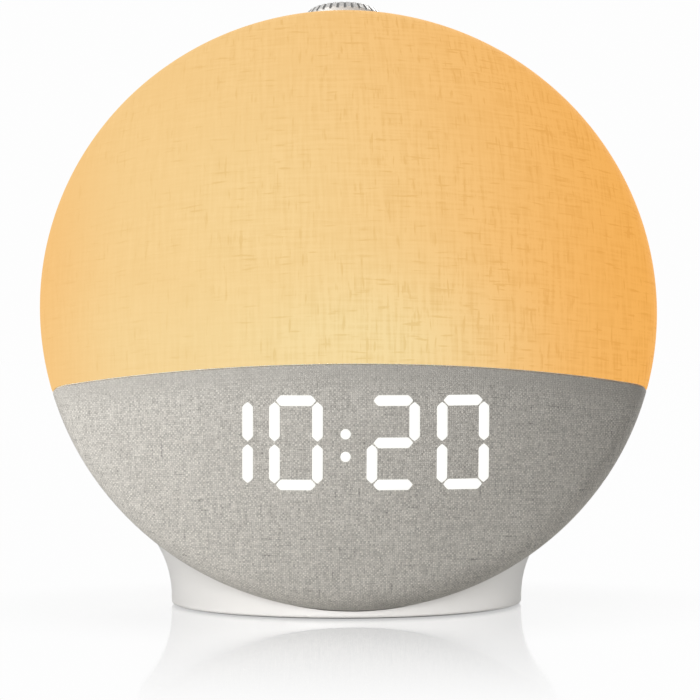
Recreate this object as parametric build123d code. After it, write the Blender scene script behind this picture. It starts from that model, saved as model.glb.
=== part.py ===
"""Sunrise alarm clock: a fabric-covered lens-shaped lamp and clock on an oval foot.

All lengths are millimetres. The row frame has its origin at the middle of the foot pad's underside,
+Z up, and the clock faces -Y. Most pieces are drawn in the lens frame, whose origin is the middle of
the lens, with z along its axis towards the front, y up the leaning face and x to the right. The dial's
pieces are drawn in the dial frame, whose z runs up the dial's axis from the lens axis.
"""

from build123d import *
from math import asin, cos, pi, radians, sin, sqrt
import os

# ---- lens: two shallow caps that meet in a rounded rim ----
LENS_RADIUS = 103.0
RIM_ROUND = 14.0
FRONT_DEPTH = 42.5
REAR_DEPTH = 36.0
LEAN = 15.0  # degrees the face leans back
LENS_LIFT = 2.83  # table to the lowest point of the lens
LENS_FORWARD = 24.1  # middle of the lens in front of the foot's middle

# ---- skins and walls ----
FABRIC = 0.8
GLUE = 0.1
SHELL_WALL = 2.5
CASING_WALL = 2.6
WRAP = 4.2  # how far the front layers reach behind the rim's widest line
CLEAR = 0.3
SEAM_Y = -30.2  # seam between the lit and the grey fabric, in the lens frame
SEAM_GAP = 0.3
DIVIDER = 1.4

# ---- screws: shank radius, head radius, head height ----
SCREW_R = 1.45
HEAD_R = 2.75
HEAD_H = 2.0
PILOT = 0.05  # screw to pilot hole, all round
HOLE_CLEAR = 0.25
SMALL_R = 1.05
SMALL_HEAD_R = 2.1
SMALL_HEAD_H = 1.3

# ---- chassis ----
CHASSIS_FRONT = -2.0
CHASSIS_THICK = 2.0
SHELL_POST_RING = 90.0
SHELL_POST_R = 3.5
SHELL_POST_ANGLES = (12, 58, 122, 168, 215, 250, 290, 325)
CASING_POST_RING = 80.0
CASING_POST_R = 3.6
CASING_POST_ANGLES = (-24, 12, 62, 118, 168, 204)
CASING_POST_LENGTH = 7.0
CASING_BOSS_R = 4.6
CASING_FLOOR = 3.0

# ---- sunrise light ----
SPREADER_R = 84.0
SPREADER_THICK = 1.2
SPREADER_LOW = -27.0
BOARD = 1.6  # every circuit board's thickness
LIGHT_EDGE = 1.6  # wall of the reflector tray
TRAY_HEIGHT = 9.0
TRAY_SHEET = 0.8
LED_SIDE = 5.0
LED_HEIGHT = 1.4
LED_WINDOW_R = 4.2
LED_ROWS = ((26, 4), (52, 8), (75, 12))  # radius, how many
LED_SPAN = (-6, 186)  # degrees
LIGHT_SCREW_RING = 64.0
LIGHT_SCREW_ANGLES = (14, 66, 114, 166)

# ---- time display: four seven-bar digits and a colon, standing upright ----
DIGIT_HEIGHT = 30.3
DIGIT_WIDTH = 17.0
STROKE = 3.4
BAR_GAP = 0.5
DIGIT_CENTRES = (-41.3, -19.2, 11.7, 34.2)
COLON_X = -3.5
COLON_DROP = 0.8  # how far the colon's middle is below the digits'
COLON_HALF_PITCH = 3.6
COLON_R = 1.65
DISPLAY_DROP = 44.0  # middle of the digits below the lens's
DISPLAY_WALL = 1.2
DISPLAY_BOARD_FRONT = 12.0
DISPLAY_BOARD_MARGIN = 6.8
DISPLAY_SCREW_IN = 3.4
DISPLAY_LED = (1.8, 1.0, 0.8)
GUIDE_LIFT = 1.2
DISPLAY_POST_R = 3.0

# ---- main board ----
MAIN_BOARD_X = 46.0
MAIN_BOARD_Y = (24.0, 66.0)
MAIN_BOARD_GAP = 4.0  # chassis to board
MAIN_POST_R = 2.8
MAIN_POST_IN = 4.0

# ---- speaker, firing through the rear casing ----
SPEAKER_Y = -8.0
SPEAKER_FLANGE_R = 29.0
SPEAKER_OPEN_R = 24.5
GRILLE_R = 27.4
GRILLE_THICK = 1.0
GRILLE_BACK = -32.9
LEDGE = 2.2
GASKET = 0.8
SLOT_WIDTH = 2.2
SLOT_PITCH = 4.2
CONE_TRAVEL = 0.8
YOKE_R = 15.0
POLE_R = 6.9
COIL = (7.3, 7.9)
PLATE_BORE = 8.4
SPEAKER_SCREW_RING = 26.9

# ---- dial and its encoder ----
DIAL_BACK = 22.0  # dial axis behind the rim's widest line
DIAL_R = 14.8
DIAL_HIGH = 110.45  # top of the dial above the lens axis
BEVEL_HEIGHT = 2.4
BEVEL_WIDTH = 2.0
RIBS = 36
RIB_GROOVE_R = 0.45
DIAL_WALL = 1.6
DIAL_ROOF = 3.6
PUSH_TRAVEL = 0.8
DIAL_GAP = 1.1
DECK = 95.5
DECK_THICK = 2.6
RIDGE_LOW = 40.0
SHAFT_R = 3.0
SHAFT_FLAT = 2.0
RUNNING = 0.05
BUSH_R = 3.5
BUSH_LENGTH = 8.3
ENCODER_SIDE = 12.0
ENCODER_HEIGHT = 6.0
ROTOR_R = 5.15
ROTOR_THICK = 1.5
NUT_FLATS = 10.0
NUT_HEIGHT = 2.0
ENCODER_BOARD = (12.5, 6.5)
ENCODER_POST_X = 10.0
ENCODER_POST_R = 2.5
CAP_R = 11.9
CAP_THICK = 0.9
CAP_RECESS = 0.8

# ---- foot ----
FOOT_X = 59.9
FOOT_FRONT = 48.0
FOOT_REAR = 33.0
FLANK = 1.0  # length of the straight flanks between the oval's halves
FLARE_RADIUS = 34.0
FLARE_START = 3.0
FLARE_RISE = 24.0
FOOT_HEIGHT = 72.0  # where the foot's wall has gone well under the lens
FOOT_STEPS = 15
FOOT_EDGE = 0.9  # rounding of the bottom edge
REAR_FLARE = 0.35  # share of the flare that the rear wall has
SHOULDER = 4.5
SIDE_TUCK = 38.0
SIDE_BEND = 1.6  # power with which the sides turn in
FRONT_TUCK = 30.0
REAR_TUCK = 36.0
REAR_BEND = 1.7
MIDDLE_SHIFT = 27.0
MIDDLE_BEND = 0.8
PAD_THICK = 1.2
PAD_SHOWS = 0.4
PAD_INSET = 6.0
PLATE_THICK = 2.4
PLATE_INSET = 3.2
PLATE_FRONT_INSET = 14.0
FOOT_WALL = 2.6
NECK_X = 26.0
NECK_Y = -14.0
NECK_HEAD_Z = 30.0
NECK_DROP = 51.8  # top of the neck below the middle of the lens
NECK_BOSS_R = 4.8
CABLE_HOLE_R = 5.0
FOOT_POST_R = 3.5
SIDE_POST = (13.9, -6.0)  # in from the foot's side, along y
REAR_POST = (22.7, 15.0)  # in from the foot's side, in from its rear
BALLAST = ((-32, 32), (-21, 3))
BALLAST_THICK = 8.0

# ---- controls and power socket on the back of the foot ----
PANEL_Y = 30.4
PANEL_X = 0.3674 * FOOT_X
PANEL_Z = (5.6, 18.0)
PANEL_WALL = 2.2
IO_BOARD_TOP = 9.6
IO_BOARD_X = PANEL_X + 1.0
IO_BOARD_FRONT = 6.0
SOCKET = (9.0, 7.3, 3.3)  # width, depth, height of the socket's shell
SOCKET_WALL = 0.35
SWITCH_X = -14.0
SWITCH_TRAVEL = 3.0
SWITCH_KNOB = (3.2, 2.2)
SWITCH_PROUD = 1.4
BUTTON_X = 14.0
BUTTON_R = 2.6
BUTTON_PROUD = 1.0
BUTTON_TRAVEL = 0.5
PLUNGER_R = 1.5
PLUNGER_PROUD = 0.7
PLUNGER_DEEP = 1.2
CONTROL_Z = 12.4

BIG = 200.0  # larger than the whole clock

LENS_HEIGHT = (LENS_RADIUS - RIM_ROUND) * cos(radians(LEAN)) + RIM_ROUND + LENS_LIFT
LENS = Plane(
    origin=(0, -LENS_FORWARD, LENS_HEIGHT),
    x_dir=(1, 0, 0),
    z_dir=(0, -cos(radians(LEAN)), sin(radians(LEAN))),
)
DIAL = Plane(origin=(0, 0, -DIAL_BACK), x_dir=(1, 0, 0), z_dir=(0, 1, 0))
DISPLAY_Z = LENS_HEIGHT - DISPLAY_DROP
NECK_TOP_Z = LENS_HEIGHT - NECK_DROP
CHASSIS_BACK = CHASSIS_FRONT - CHASSIS_THICK
SHELL_OUT = FABRIC + GLUE
SHELL_IN = SHELL_OUT + SHELL_WALL
MAIN_FRONT = CHASSIS_BACK - MAIN_BOARD_GAP
MAIN_BACK = MAIN_FRONT - BOARD
CASING_POST_END = CHASSIS_BACK - CASING_POST_LENGTH
CASING_HEAD = CASING_POST_END - CLEAR - CASING_FLOOR
LIGHT_FRONT = CHASSIS_FRONT + SPREADER_THICK + BOARD
DISPLAY_BOARD_BACK = DISPLAY_BOARD_FRONT - BOARD
PLATE_LOW = PAD_SHOWS
PLATE_TOP = PLATE_LOW + PLATE_THICK
FOOT_POSTS = [(side * (FOOT_X - SIDE_POST[0]), SIDE_POST[1]) for side in (-1, 1)]
FOOT_POSTS += [(side * (FOOT_X - REAR_POST[0]), FOOT_REAR - REAR_POST[1]) for side in (-1, 1)]
LEDGE_BACK = GRILLE_BACK + GRILLE_THICK
LEDGE_FRONT = LEDGE_BACK + LEDGE
FLANGE_BACK = LEDGE_FRONT + GASKET
FLANGE_FRONT = FLANGE_BACK + 1.0
IO_BOARD_LOW = IO_BOARD_TOP - BOARD
DIAL_LOW = DECK + PUSH_TRAVEL + 0.6
ENCODER_HIGH = DECK - DECK_THICK - 2.9
ENCODER_LOW = ENCODER_HIGH - ENCODER_HEIGHT
BUSH_HIGH = ENCODER_HIGH + BUSH_LENGTH
SHAFT_LOW = ENCODER_LOW + 1.0 + PUSH_TRAVEL + 0.1
SHAFT_HIGH = DIAL_HIGH - 4.2
ROTOR = (ENCODER_LOW + 2.0, ENCODER_LOW + 2.0 + ROTOR_THICK)
GRIP_LOW = BUSH_HIGH + PUSH_TRAVEL + 0.9


# ---------------------------------------------------------------- drawing helpers


def block(x, y, z):
    """A box from its low and high limits along each axis."""
    size = [high - low for low, high in (x, y, z)]
    middle = [(high + low) / 2 for low, high in (x, y, z)]
    return Pos(*middle) * Box(*size)


def rod(radius, low, high, at=(0, 0)):
    """An upright cylinder between two heights."""
    return Pos(at[0], at[1], low) * Cylinder(
        radius, high - low, align=(Align.CENTER, Align.CENTER, Align.MIN)
    )


def tube(outer, inner, low, high, at=(0, 0)):
    return rod(outer, low, high, at) - rod(inner, low - 1, high + 1, at)


def turned(points):
    """A solid turned about the z axis from (radius, height) corners."""
    return revolve(Plane.XZ * make_face(Polyline(*points, close=True)), Axis.Z)


def ring_points(radius, angles):
    return [(radius * cos(radians(a)), radius * sin(radians(a))) for a in angles]


def group(solids):
    return Compound(children=list(solids))


def in_lens(shape):
    """From the lens frame to the row frame."""
    return LENS * shape


def on_dial(shape):
    """From the dial frame to the row frame."""
    return LENS * (DIAL * shape)


def screw(at, seat, tip, shank=SCREW_R, head=HEAD_R, head_height=HEAD_H):
    """A round-headed screw whose head sits at seat and whose shank runs to tip."""
    away = -1 if tip > seat else 1
    top = seat + away * head_height
    return rod(head, min(seat, top), max(seat, top), at) + rod(
        shank, min(seat, tip), max(seat, tip), at
    )


# ---------------------------------------------------------------- lens outline


def cap_radius(depth):
    """Radius of the arc through a cap's tip that runs smoothly into the rim's arc."""
    ring = LENS_RADIUS - RIM_ROUND
    return (depth**2 + ring**2 - RIM_ROUND**2) / (2 * (depth - RIM_ROUND))


def half_outline(depth, side, inset):
    """Points from a cap's tip to the rim's widest point: ends and middles of its two arcs."""
    ring = LENS_RADIUS - RIM_ROUND
    rim = RIM_ROUND - inset
    radius = cap_radius(depth)
    reach = radius - inset
    lean = asin(ring / (radius - RIM_ROUND))
    on_cap = [
        (reach * sin(a), side * (depth - radius + reach * cos(a))) for a in (0, lean / 2, lean)
    ]
    half_turn = lean / 2 + pi / 4
    on_rim = (ring + rim * sin(half_turn), side * rim * cos(half_turn))
    return [*on_cap, on_rim, (ring + rim, 0)]


def lens_solid(inset):
    """The whole lens, every surface moved in by inset, in the lens frame."""
    front = half_outline(FRONT_DEPTH, 1, inset)
    rear = half_outline(REAR_DEPTH, -1, inset)
    points = front + rear[-2::-1]
    edges = [ThreePointArc(*points[i : i + 3]) for i in (0, 2, 4, 6)]
    edges.append(Line(points[-1], points[0]))
    return revolve(Plane.XZ * make_face(edges), Axis.Z)


def front_layer(outer, inner, y_range):
    """A layer of the front between two insets, from the rim's wrap forward."""
    layer = lens_solid(outer) - lens_solid(inner)
    return layer & block((-BIG, BIG), y_range, (-WRAP, BIG))


UPPER_Y = (SEAM_Y + SEAM_GAP / 2, BIG)
LOWER_Y = (-BIG, SEAM_Y - SEAM_GAP / 2)


# ---------------------------------------------------------------- front skins


def shell_posts(y_range):
    """Screw posts inside a front shell, and the pilot holes in them."""
    centres = [
        p
        for p in ring_points(SHELL_POST_RING, SHELL_POST_ANGLES)
        if y_range[0] < p[1] < y_range[1]
    ]
    envelope = lens_solid(SHELL_OUT)
    posts = [rod(SHELL_POST_R, CHASSIS_FRONT, FRONT_DEPTH, p) & envelope for p in centres]
    pilots = [rod(SCREW_R + PILOT, CHASSIS_FRONT - 1, CHASSIS_FRONT + 8, p) for p in centres]
    return posts, pilots


def front_shell(y_range):
    posts, pilots = shell_posts(y_range)
    return (front_layer(SHELL_OUT, SHELL_IN, y_range) + posts) - pilots


def display_block(margin, depth_low=-BIG):
    """The upright block that holds every digit, grown by margin, in the row frame."""
    half = DIGIT_WIDTH / 2 + margin
    return block(
        (DIGIT_CENTRES[0] - half, DIGIT_CENTRES[-1] + half),
        (depth_low, 0),
        (DISPLAY_Z - DIGIT_HEIGHT / 2 - margin, DISPLAY_Z + DIGIT_HEIGHT / 2 + margin),
    )


def lower_front_shell():
    return in_lens(front_shell(LOWER_Y)) - display_block(DISPLAY_WALL + CLEAR)


def light_divider():
    inside = lens_solid(SHELL_IN + CLEAR)
    sheet = block(
        (-BIG, BIG), (SEAM_Y - DIVIDER / 2, SEAM_Y + DIVIDER / 2), (CHASSIS_FRONT, BIG)
    )
    return in_lens(sheet & inside)


# ---------------------------------------------------------------- chassis


def chassis_radius():
    """The largest disc that clears the front shells at the chassis's back face."""
    ring = LENS_RADIUS - RIM_ROUND
    return ring + sqrt((RIM_ROUND - SHELL_IN) ** 2 - WRAP**2) - CLEAR


def display_post_centres():
    left = DIGIT_CENTRES[0] - DIGIT_WIDTH / 2 - DISPLAY_WALL - DISPLAY_SCREW_IN
    right = DIGIT_CENTRES[-1] + DIGIT_WIDTH / 2 + DISPLAY_WALL + DISPLAY_SCREW_IN
    low, high = display_board_y()
    return [(x, y) for x in (left, right) for y in (low + 4.5, high - 4.5)]


def main_post_centres():
    x = MAIN_BOARD_X - MAIN_POST_IN
    low, high = MAIN_BOARD_Y
    return [(sx * x, y) for sx in (-1, 1) for y in (low + MAIN_POST_IN, high - MAIN_POST_IN)]


RIBBON_X = (-20.0, -8.0)
RIBBON_SLOT_Y = -45.0
RIBBON_THICK = 0.3
LINK_AT = (22.0, 33.0)
LINK_SIZE = (12.0, 5.0)


def chassis_plate():
    plate = rod(chassis_radius(), CHASSIS_BACK, CHASSIS_FRONT)
    plate += [
        rod(DISPLAY_POST_R, CHASSIS_FRONT, DISPLAY_BOARD_BACK, p)
        for p in display_post_centres()
    ]
    plate += [rod(MAIN_POST_R, MAIN_FRONT, CHASSIS_BACK, p) for p in main_post_centres()]
    casing_posts = ring_points(CASING_POST_RING, CASING_POST_ANGLES)
    plate += [rod(CASING_POST_R, CASING_POST_END, CHASSIS_BACK, p) for p in casing_posts]
    holes = [
        rod(SCREW_R + HOLE_CLEAR, CHASSIS_BACK - 1, CHASSIS_FRONT + 1, p)
        for p in ring_points(SHELL_POST_RING, SHELL_POST_ANGLES)
    ]
    holes += [
        rod(SCREW_R + PILOT, CASING_POST_END - 1, CASING_POST_END + 8, p)
        for p in casing_posts
    ]
    holes += [
        rod(SMALL_R + PILOT, DISPLAY_BOARD_BACK - 6, DISPLAY_BOARD_BACK + 1, p)
        for p in display_post_centres()
    ]
    holes += [
        rod(SMALL_R + PILOT, MAIN_FRONT - 1, MAIN_FRONT + 4.5, p) for p in main_post_centres()
    ]
    holes += [
        rod(SCREW_R + PILOT, CHASSIS_BACK - 1, CHASSIS_FRONT + 1, p)
        for p in ring_points(LIGHT_SCREW_RING, LIGHT_SCREW_ANGLES)
    ]
    holes += [
        block(
            (RIBBON_X[0] - 1, RIBBON_X[1] + 1),
            (RIBBON_SLOT_Y - 1.5, RIBBON_SLOT_Y + 1.5),
            (CHASSIS_BACK - 1, CHASSIS_FRONT + 1),
        ),
        link_block(0.5, CHASSIS_BACK - 1, CHASSIS_FRONT + 1),
    ]
    return in_lens(plate - holes)


def link_block(margin, low, high):
    """The board-to-board connector's outline, grown by margin."""
    half = [s / 2 + margin for s in LINK_SIZE]
    return block(
        (LINK_AT[0] - half[0], LINK_AT[0] + half[0]),
        (LINK_AT[1] - half[1], LINK_AT[1] + half[1]),
        (low, high),
    )


# ---------------------------------------------------------------- sunrise light


def half_disc(radius, low, z_range):
    """A disc with its lower part cut off straight."""
    return rod(radius, *z_range) & block((-BIG, BIG), (low, BIG), (-BIG, BIG))


def led_centres():
    centres = []
    for radius, count in LED_ROWS:
        step = (LED_SPAN[1] - LED_SPAN[0]) / (count - 1)
        centres += ring_points(radius, [LED_SPAN[0] + i * step for i in range(count)])
    return centres


def light_screw_holes(radius):
    return [
        rod(radius, CHASSIS_FRONT - 1, TRAY_HEIGHT, p)
        for p in ring_points(LIGHT_SCREW_RING, LIGHT_SCREW_ANGLES)
    ]


def heat_spreader():
    top = CHASSIS_FRONT + SPREADER_THICK
    plate = half_disc(SPREADER_R, SPREADER_LOW, (CHASSIS_FRONT, top))
    cuts = light_screw_holes(SCREW_R + HOLE_CLEAR)
    cuts.append(link_block(0.5, CHASSIS_FRONT - 1, top + 1))
    return in_lens(plate - cuts)


def light_board():
    edge = LIGHT_EDGE + CLEAR
    low = LIGHT_FRONT - BOARD
    plate = half_disc(SPREADER_R - edge, SPREADER_LOW + edge, (low, LIGHT_FRONT))
    return in_lens(plate - light_screw_holes(SCREW_R + HOLE_CLEAR))


def light_leds():
    half = LED_SIDE / 2
    return in_lens(
        group(
            block(
                (x - half, x + half), (y - half, y + half), (LIGHT_FRONT, LIGHT_FRONT + LED_HEIGHT)
            )
            for x, y in led_centres()
        )
    )


def light_reflector():
    low = CHASSIS_FRONT + SPREADER_THICK
    inner_r = SPREADER_R - LIGHT_EDGE
    inner_low = SPREADER_LOW + LIGHT_EDGE
    tray = half_disc(SPREADER_R, SPREADER_LOW, (low, TRAY_HEIGHT))
    tray -= half_disc(inner_r, inner_low, (low - 1, TRAY_HEIGHT + 1))
    tray += half_disc(inner_r, inner_low, (LIGHT_FRONT, LIGHT_FRONT + TRAY_SHEET))
    windows = [rod(LED_WINDOW_R, LIGHT_FRONT - 1, TRAY_HEIGHT, p) for p in led_centres()]
    return in_lens(tray - windows - light_screw_holes(HEAD_R + CLEAR))


# ---------------------------------------------------------------- time display


def lens_y_at(height, axial):
    """Lens-frame y of the point at a height above the table and a place along the lens axis."""
    lean = radians(LEAN)
    return (height - LENS_HEIGHT - axial * sin(lean)) / cos(lean)


def display_board_y():
    half = DIGIT_HEIGHT / 2 + DISPLAY_WALL
    low = lens_y_at(DISPLAY_Z - half, DISPLAY_BOARD_FRONT)
    high = lens_y_at(DISPLAY_Z + half, DISPLAY_BOARD_FRONT)
    return low - 1.0, high


def bar(x, z, length, upright):
    """One pointed bar of a digit, in the x-z plane."""
    tip = length / 2
    shoulder = tip - STROKE / 2
    half = STROKE / 2
    corners = [(-tip, 0), (-shoulder, half), (shoulder, half)]
    corners += [(-a, -b) for a, b in corners]
    if upright:
        corners = [(b, a) for a, b in corners]
    return [(x + a, z + b) for a, b in corners]


def digit_bars(centre):
    """The seven bars of a digit as corner lists: top, right pair, bottom, left pair, middle."""
    across = DIGIT_WIDTH - STROKE - 2 * BAR_GAP
    reach = (DIGIT_HEIGHT - STROKE) / 2
    along = reach - 2 * BAR_GAP
    side = (DIGIT_WIDTH - STROKE) / 2
    bars = [bar(centre, DISPLAY_Z + k * reach, across, False) for k in (1, 0, -1)]
    bars += [
        bar(centre + sx * side, DISPLAY_Z + sz * reach / 2, along, True)
        for sx in (-1, 1)
        for sz in (-1, 1)
    ]
    return bars


def light_paths():
    """Every bar and colon dot as a long prism along the row's y axis, with its middle."""
    paths = []
    for centre in DIGIT_CENTRES:
        for corners in digit_bars(centre):
            face = Plane.XZ * make_face(Polyline(*corners, close=True))
            middle = [sum(c[i] for c in corners) / len(corners) for i in (0, 1)]
            paths.append((extrude(face, BIG, dir=(0, -1, 0)), middle))
    for sz in (-1, 1):
        z = DISPLAY_Z - COLON_DROP + sz * COLON_HALF_PITCH
        face = Plane.XZ * (Pos(COLON_X, z) * Circle(COLON_R))
        paths.append((extrude(face, BIG, dir=(0, -1, 0)), (COLON_X, z)))
    return paths


def in_front_of(axial):
    """Everything in front of a place along the lens axis, in the row frame."""
    return in_lens(block((-BIG, BIG), (-BIG, BIG), (axial, BIG)))


def display_light_box(paths, envelope):
    body = display_block(DISPLAY_WALL) & envelope & in_front_of(DISPLAY_BOARD_FRONT)
    return body - [path for path, _ in paths]


def segment_guides(paths, envelope):
    room = envelope & in_front_of(DISPLAY_BOARD_FRONT + GUIDE_LIFT)
    return group(path & room for path, _ in paths)


def display_board():
    low, high = display_board_y()
    left = DIGIT_CENTRES[0] - DIGIT_WIDTH / 2 - DISPLAY_WALL - DISPLAY_BOARD_MARGIN
    right = DIGIT_CENTRES[-1] + DIGIT_WIDTH / 2 + DISPLAY_WALL + DISPLAY_BOARD_MARGIN
    plate = block((left, right), (low, high), (DISPLAY_BOARD_BACK, DISPLAY_BOARD_FRONT))
    holes = [
        rod(SMALL_R + HOLE_CLEAR, DISPLAY_BOARD_BACK - 1, DISPLAY_BOARD_FRONT + 1, p)
        for p in display_post_centres()
    ]
    return in_lens(plate - holes)


def display_leds(paths):
    wide, tall, thick = DISPLAY_LED
    leds = []
    for _, (x, z) in paths:
        y = lens_y_at(z, DISPLAY_BOARD_FRONT)
        leds.append(
            block(
                (x - wide / 2, x + wide / 2),
                (y - tall / 2, y + tall / 2),
                (DISPLAY_BOARD_FRONT, DISPLAY_BOARD_FRONT + thick),
            )
        )
    return in_lens(group(leds))


# ---------------------------------------------------------------- main board


def main_board():
    plate = block((-MAIN_BOARD_X, MAIN_BOARD_X), MAIN_BOARD_Y, (MAIN_BACK, MAIN_FRONT))
    holes = [
        rod(SMALL_R + HOLE_CLEAR, MAIN_BACK - 1, MAIN_FRONT + 1, p) for p in main_post_centres()
    ]
    return in_lens(plate - holes)


def on_main(x, y, height, base=0.0):
    """A block standing on the back of the main board."""
    return block(x, y, (MAIN_BACK - base - height, MAIN_BACK - base))


def wireless_module():
    card = on_main((23, 40), (36, 60), 0.8)
    can = on_main((24, 39), (37, 52), 2.2, base=0.8)
    return in_lens(card + can)


def main_chips():
    places = (((-22, -10), (44, 56), 1.4), ((-32, -25), (30, 37), 1.2), ((-20, -15), (30, 34), 1.5))
    return in_lens(group(on_main(*place) for place in places))


def power_capacitors():
    places = ((-38, 57, 4.0, 8.0), (-38, 46.5, 4.0, 8.0), (-28.5, 50, 3.15, 7.0))
    return in_lens(group(rod(r, MAIN_BACK - h, MAIN_BACK, (x, y)) for x, y, r, h in places))


CELL_AT = (6.0, 50.0)
CELL_R = 10.0
CELL_THICK = 3.2
HOLDER_BASE = 1.0


def cell_holder():
    wide = CELL_R + 1.4
    body = on_main(
        (CELL_AT[0] - wide, CELL_AT[0] + wide),
        (CELL_AT[1] - wide, CELL_AT[1] + wide),
        HOLDER_BASE + 2.4,
    )
    pocket = rod(CELL_R + CLEAR, MAIN_BACK - BIG, MAIN_BACK - HOLDER_BASE, CELL_AT)
    return in_lens(body - pocket)


def backup_cell():
    seat = MAIN_BACK - HOLDER_BASE
    return in_lens(rod(CELL_R, seat - CELL_THICK, seat, CELL_AT))


SPEAKER_PLUG = ((-4, 4), (27, 32))


def board_connectors():
    """Sockets on the boards: power, speaker, display ribbon at both ends and encoder ribbon."""
    return in_lens(
        group(
            [
                on_main((-43, -35), (26 + 6, 26 + 12), 5.0),
                on_main(*SPEAKER_PLUG, 5.0),
                on_main((-5, 5), (62.2, 65.6), 2.6),
                block(
                    (RIBBON_X[0] - 1, RIBBON_X[1] + 1),
                    (MAIN_BOARD_Y[0] + 2, MAIN_BOARD_Y[0] + 6),
                    (MAIN_FRONT, MAIN_FRONT + 2.8),
                ),
                block(
                    (RIBBON_X[0] - 1, RIBBON_X[1] + 1),
                    (RIBBON_SLOT_Y - 2, RIBBON_SLOT_Y + 2),
                    (DISPLAY_BOARD_BACK - 1.8, DISPLAY_BOARD_BACK),
                ),
            ]
        )
    )


def light_link():
    return in_lens(link_block(0, MAIN_FRONT, CHASSIS_FRONT + SPREADER_THICK))


def display_ribbon():
    """A flat cable from the display board, through the chassis, to the main board's front."""
    run = MAIN_FRONT + 1.4
    path = FilletPolyline(
        (RIBBON_SLOT_Y, DISPLAY_BOARD_BACK - 1.8),
        (RIBBON_SLOT_Y, run),
        (MAIN_BOARD_Y[0] + 2, run),
        radius=2.5,
    )
    strip = Plane.YZ * trace(path, line_width=RIBBON_THICK)
    return in_lens(Pos(RIBBON_X[0], 0, 0) * extrude(strip, RIBBON_X[1] - RIBBON_X[0], dir=(1, 0, 0)))


# ---------------------------------------------------------------- rear casing


def casing_cavity():
    """The room inside the casing, less the wall round the dial's pocket."""
    room = lens_solid(CASING_WALL)
    pocket_wall = DIAL * rod(DIAL_R + DIAL_GAP + CASING_WALL, DECK - DECK_THICK, BIG)
    ridge = DIAL * (
        rod(ridge_radius() - CASING_WALL, RIDGE_LOW, DECK - DECK_THICK)
        + Pos(0, 0, RIDGE_LOW) * Sphere(ridge_radius() - CASING_WALL)
    )
    return (room - pocket_wall) + ridge


def ridge_radius():
    """The ridge that carries the dial is as wide as the wall round the dial's pocket."""
    return DIAL_R + DIAL_GAP + CASING_WALL


def ridge():
    column = rod(ridge_radius(), RIDGE_LOW, DECK)
    column = fillet(column.edges().sort_by(Axis.Z)[-1], 1.8)
    return DIAL * (column + Pos(0, 0, RIDGE_LOW) * Sphere(ridge_radius()))


def encoder_post_centres():
    return [(sx * ENCODER_POST_X, 0) for sx in (-1, 1)]


def rear_casing():
    outer = lens_solid(0)
    body = (outer + ridge()) - casing_cavity()
    speaker_at = (0, SPEAKER_Y)
    pad = rod(SPEAKER_FLANGE_R + 1.5, -REAR_DEPTH, LEDGE_FRONT, speaker_at)
    bosses = [
        rod(CASING_BOSS_R, -REAR_DEPTH, CASING_POST_END - CLEAR, p)
        for p in ring_points(CASING_POST_RING, CASING_POST_ANGLES)
    ]
    body += [solid & outer for solid in (pad, *bosses)]
    body += [
        DIAL * rod(ENCODER_POST_R, ENCODER_LOW, DECK - 0.5, p) for p in encoder_post_centres()
    ]
    body -= DIAL * rod(DIAL_R + DIAL_GAP, DECK, BIG)
    body -= DIAL * rod(BUSH_R + HOLE_CLEAR, ENCODER_HIGH, BIG)
    body -= [
        DIAL * rod(SMALL_R + PILOT, ENCODER_LOW - 1, ENCODER_LOW + 7, p)
        for p in encoder_post_centres()
    ]
    body -= rod(GRILLE_R + CLEAR, -BIG, LEDGE_BACK, speaker_at)
    body -= rod(SPEAKER_OPEN_R, -BIG, 0, speaker_at)
    body -= [
        rod(SMALL_R + PILOT, LEDGE_BACK + 0.5, 0, p) for p in speaker_screw_centres()
    ]
    for p in ring_points(CASING_POST_RING, CASING_POST_ANGLES):
        body -= rod(SCREW_R + HOLE_CLEAR, -BIG, 0, p)
        body -= rod(HEAD_R + CLEAR, -BIG, CASING_HEAD, p)
    body &= block((-BIG, BIG), (-BIG, BIG), (-BIG, -WRAP - CLEAR))
    body = in_lens(body)
    whole = in_lens(outer)
    for x in (-NECK_X, NECK_X):
        body += rod(NECK_BOSS_R, 0, NECK_TOP_Z, (x, NECK_Y)) & whole
        body -= rod(SCREW_R + PILOT, 0, NECK_TOP_Z - 1.5, (x, NECK_Y))
    return body - rod(CABLE_HOLE_R, 0, NECK_TOP_Z, (0, NECK_Y))


# ---------------------------------------------------------------- speaker


def speaker_screw_centres():
    return [
        (x, y + SPEAKER_Y) for x, y in ring_points(SPEAKER_SCREW_RING, (45, 135, 225, 315))
    ]


def at_speaker(shape):
    return in_lens(Pos(0, SPEAKER_Y, 0) * shape)


BASKET_FRONT = FLANGE_FRONT + 10.9
TOP_PLATE = 2.0
MAGNET_THICK = 4.5
YOKE_BACK = 1.5
CONE_NECK = BASKET_FRONT - 4.4
CONE_EDGE_R = 20.0
SPIDER_THICK = 0.4


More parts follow.
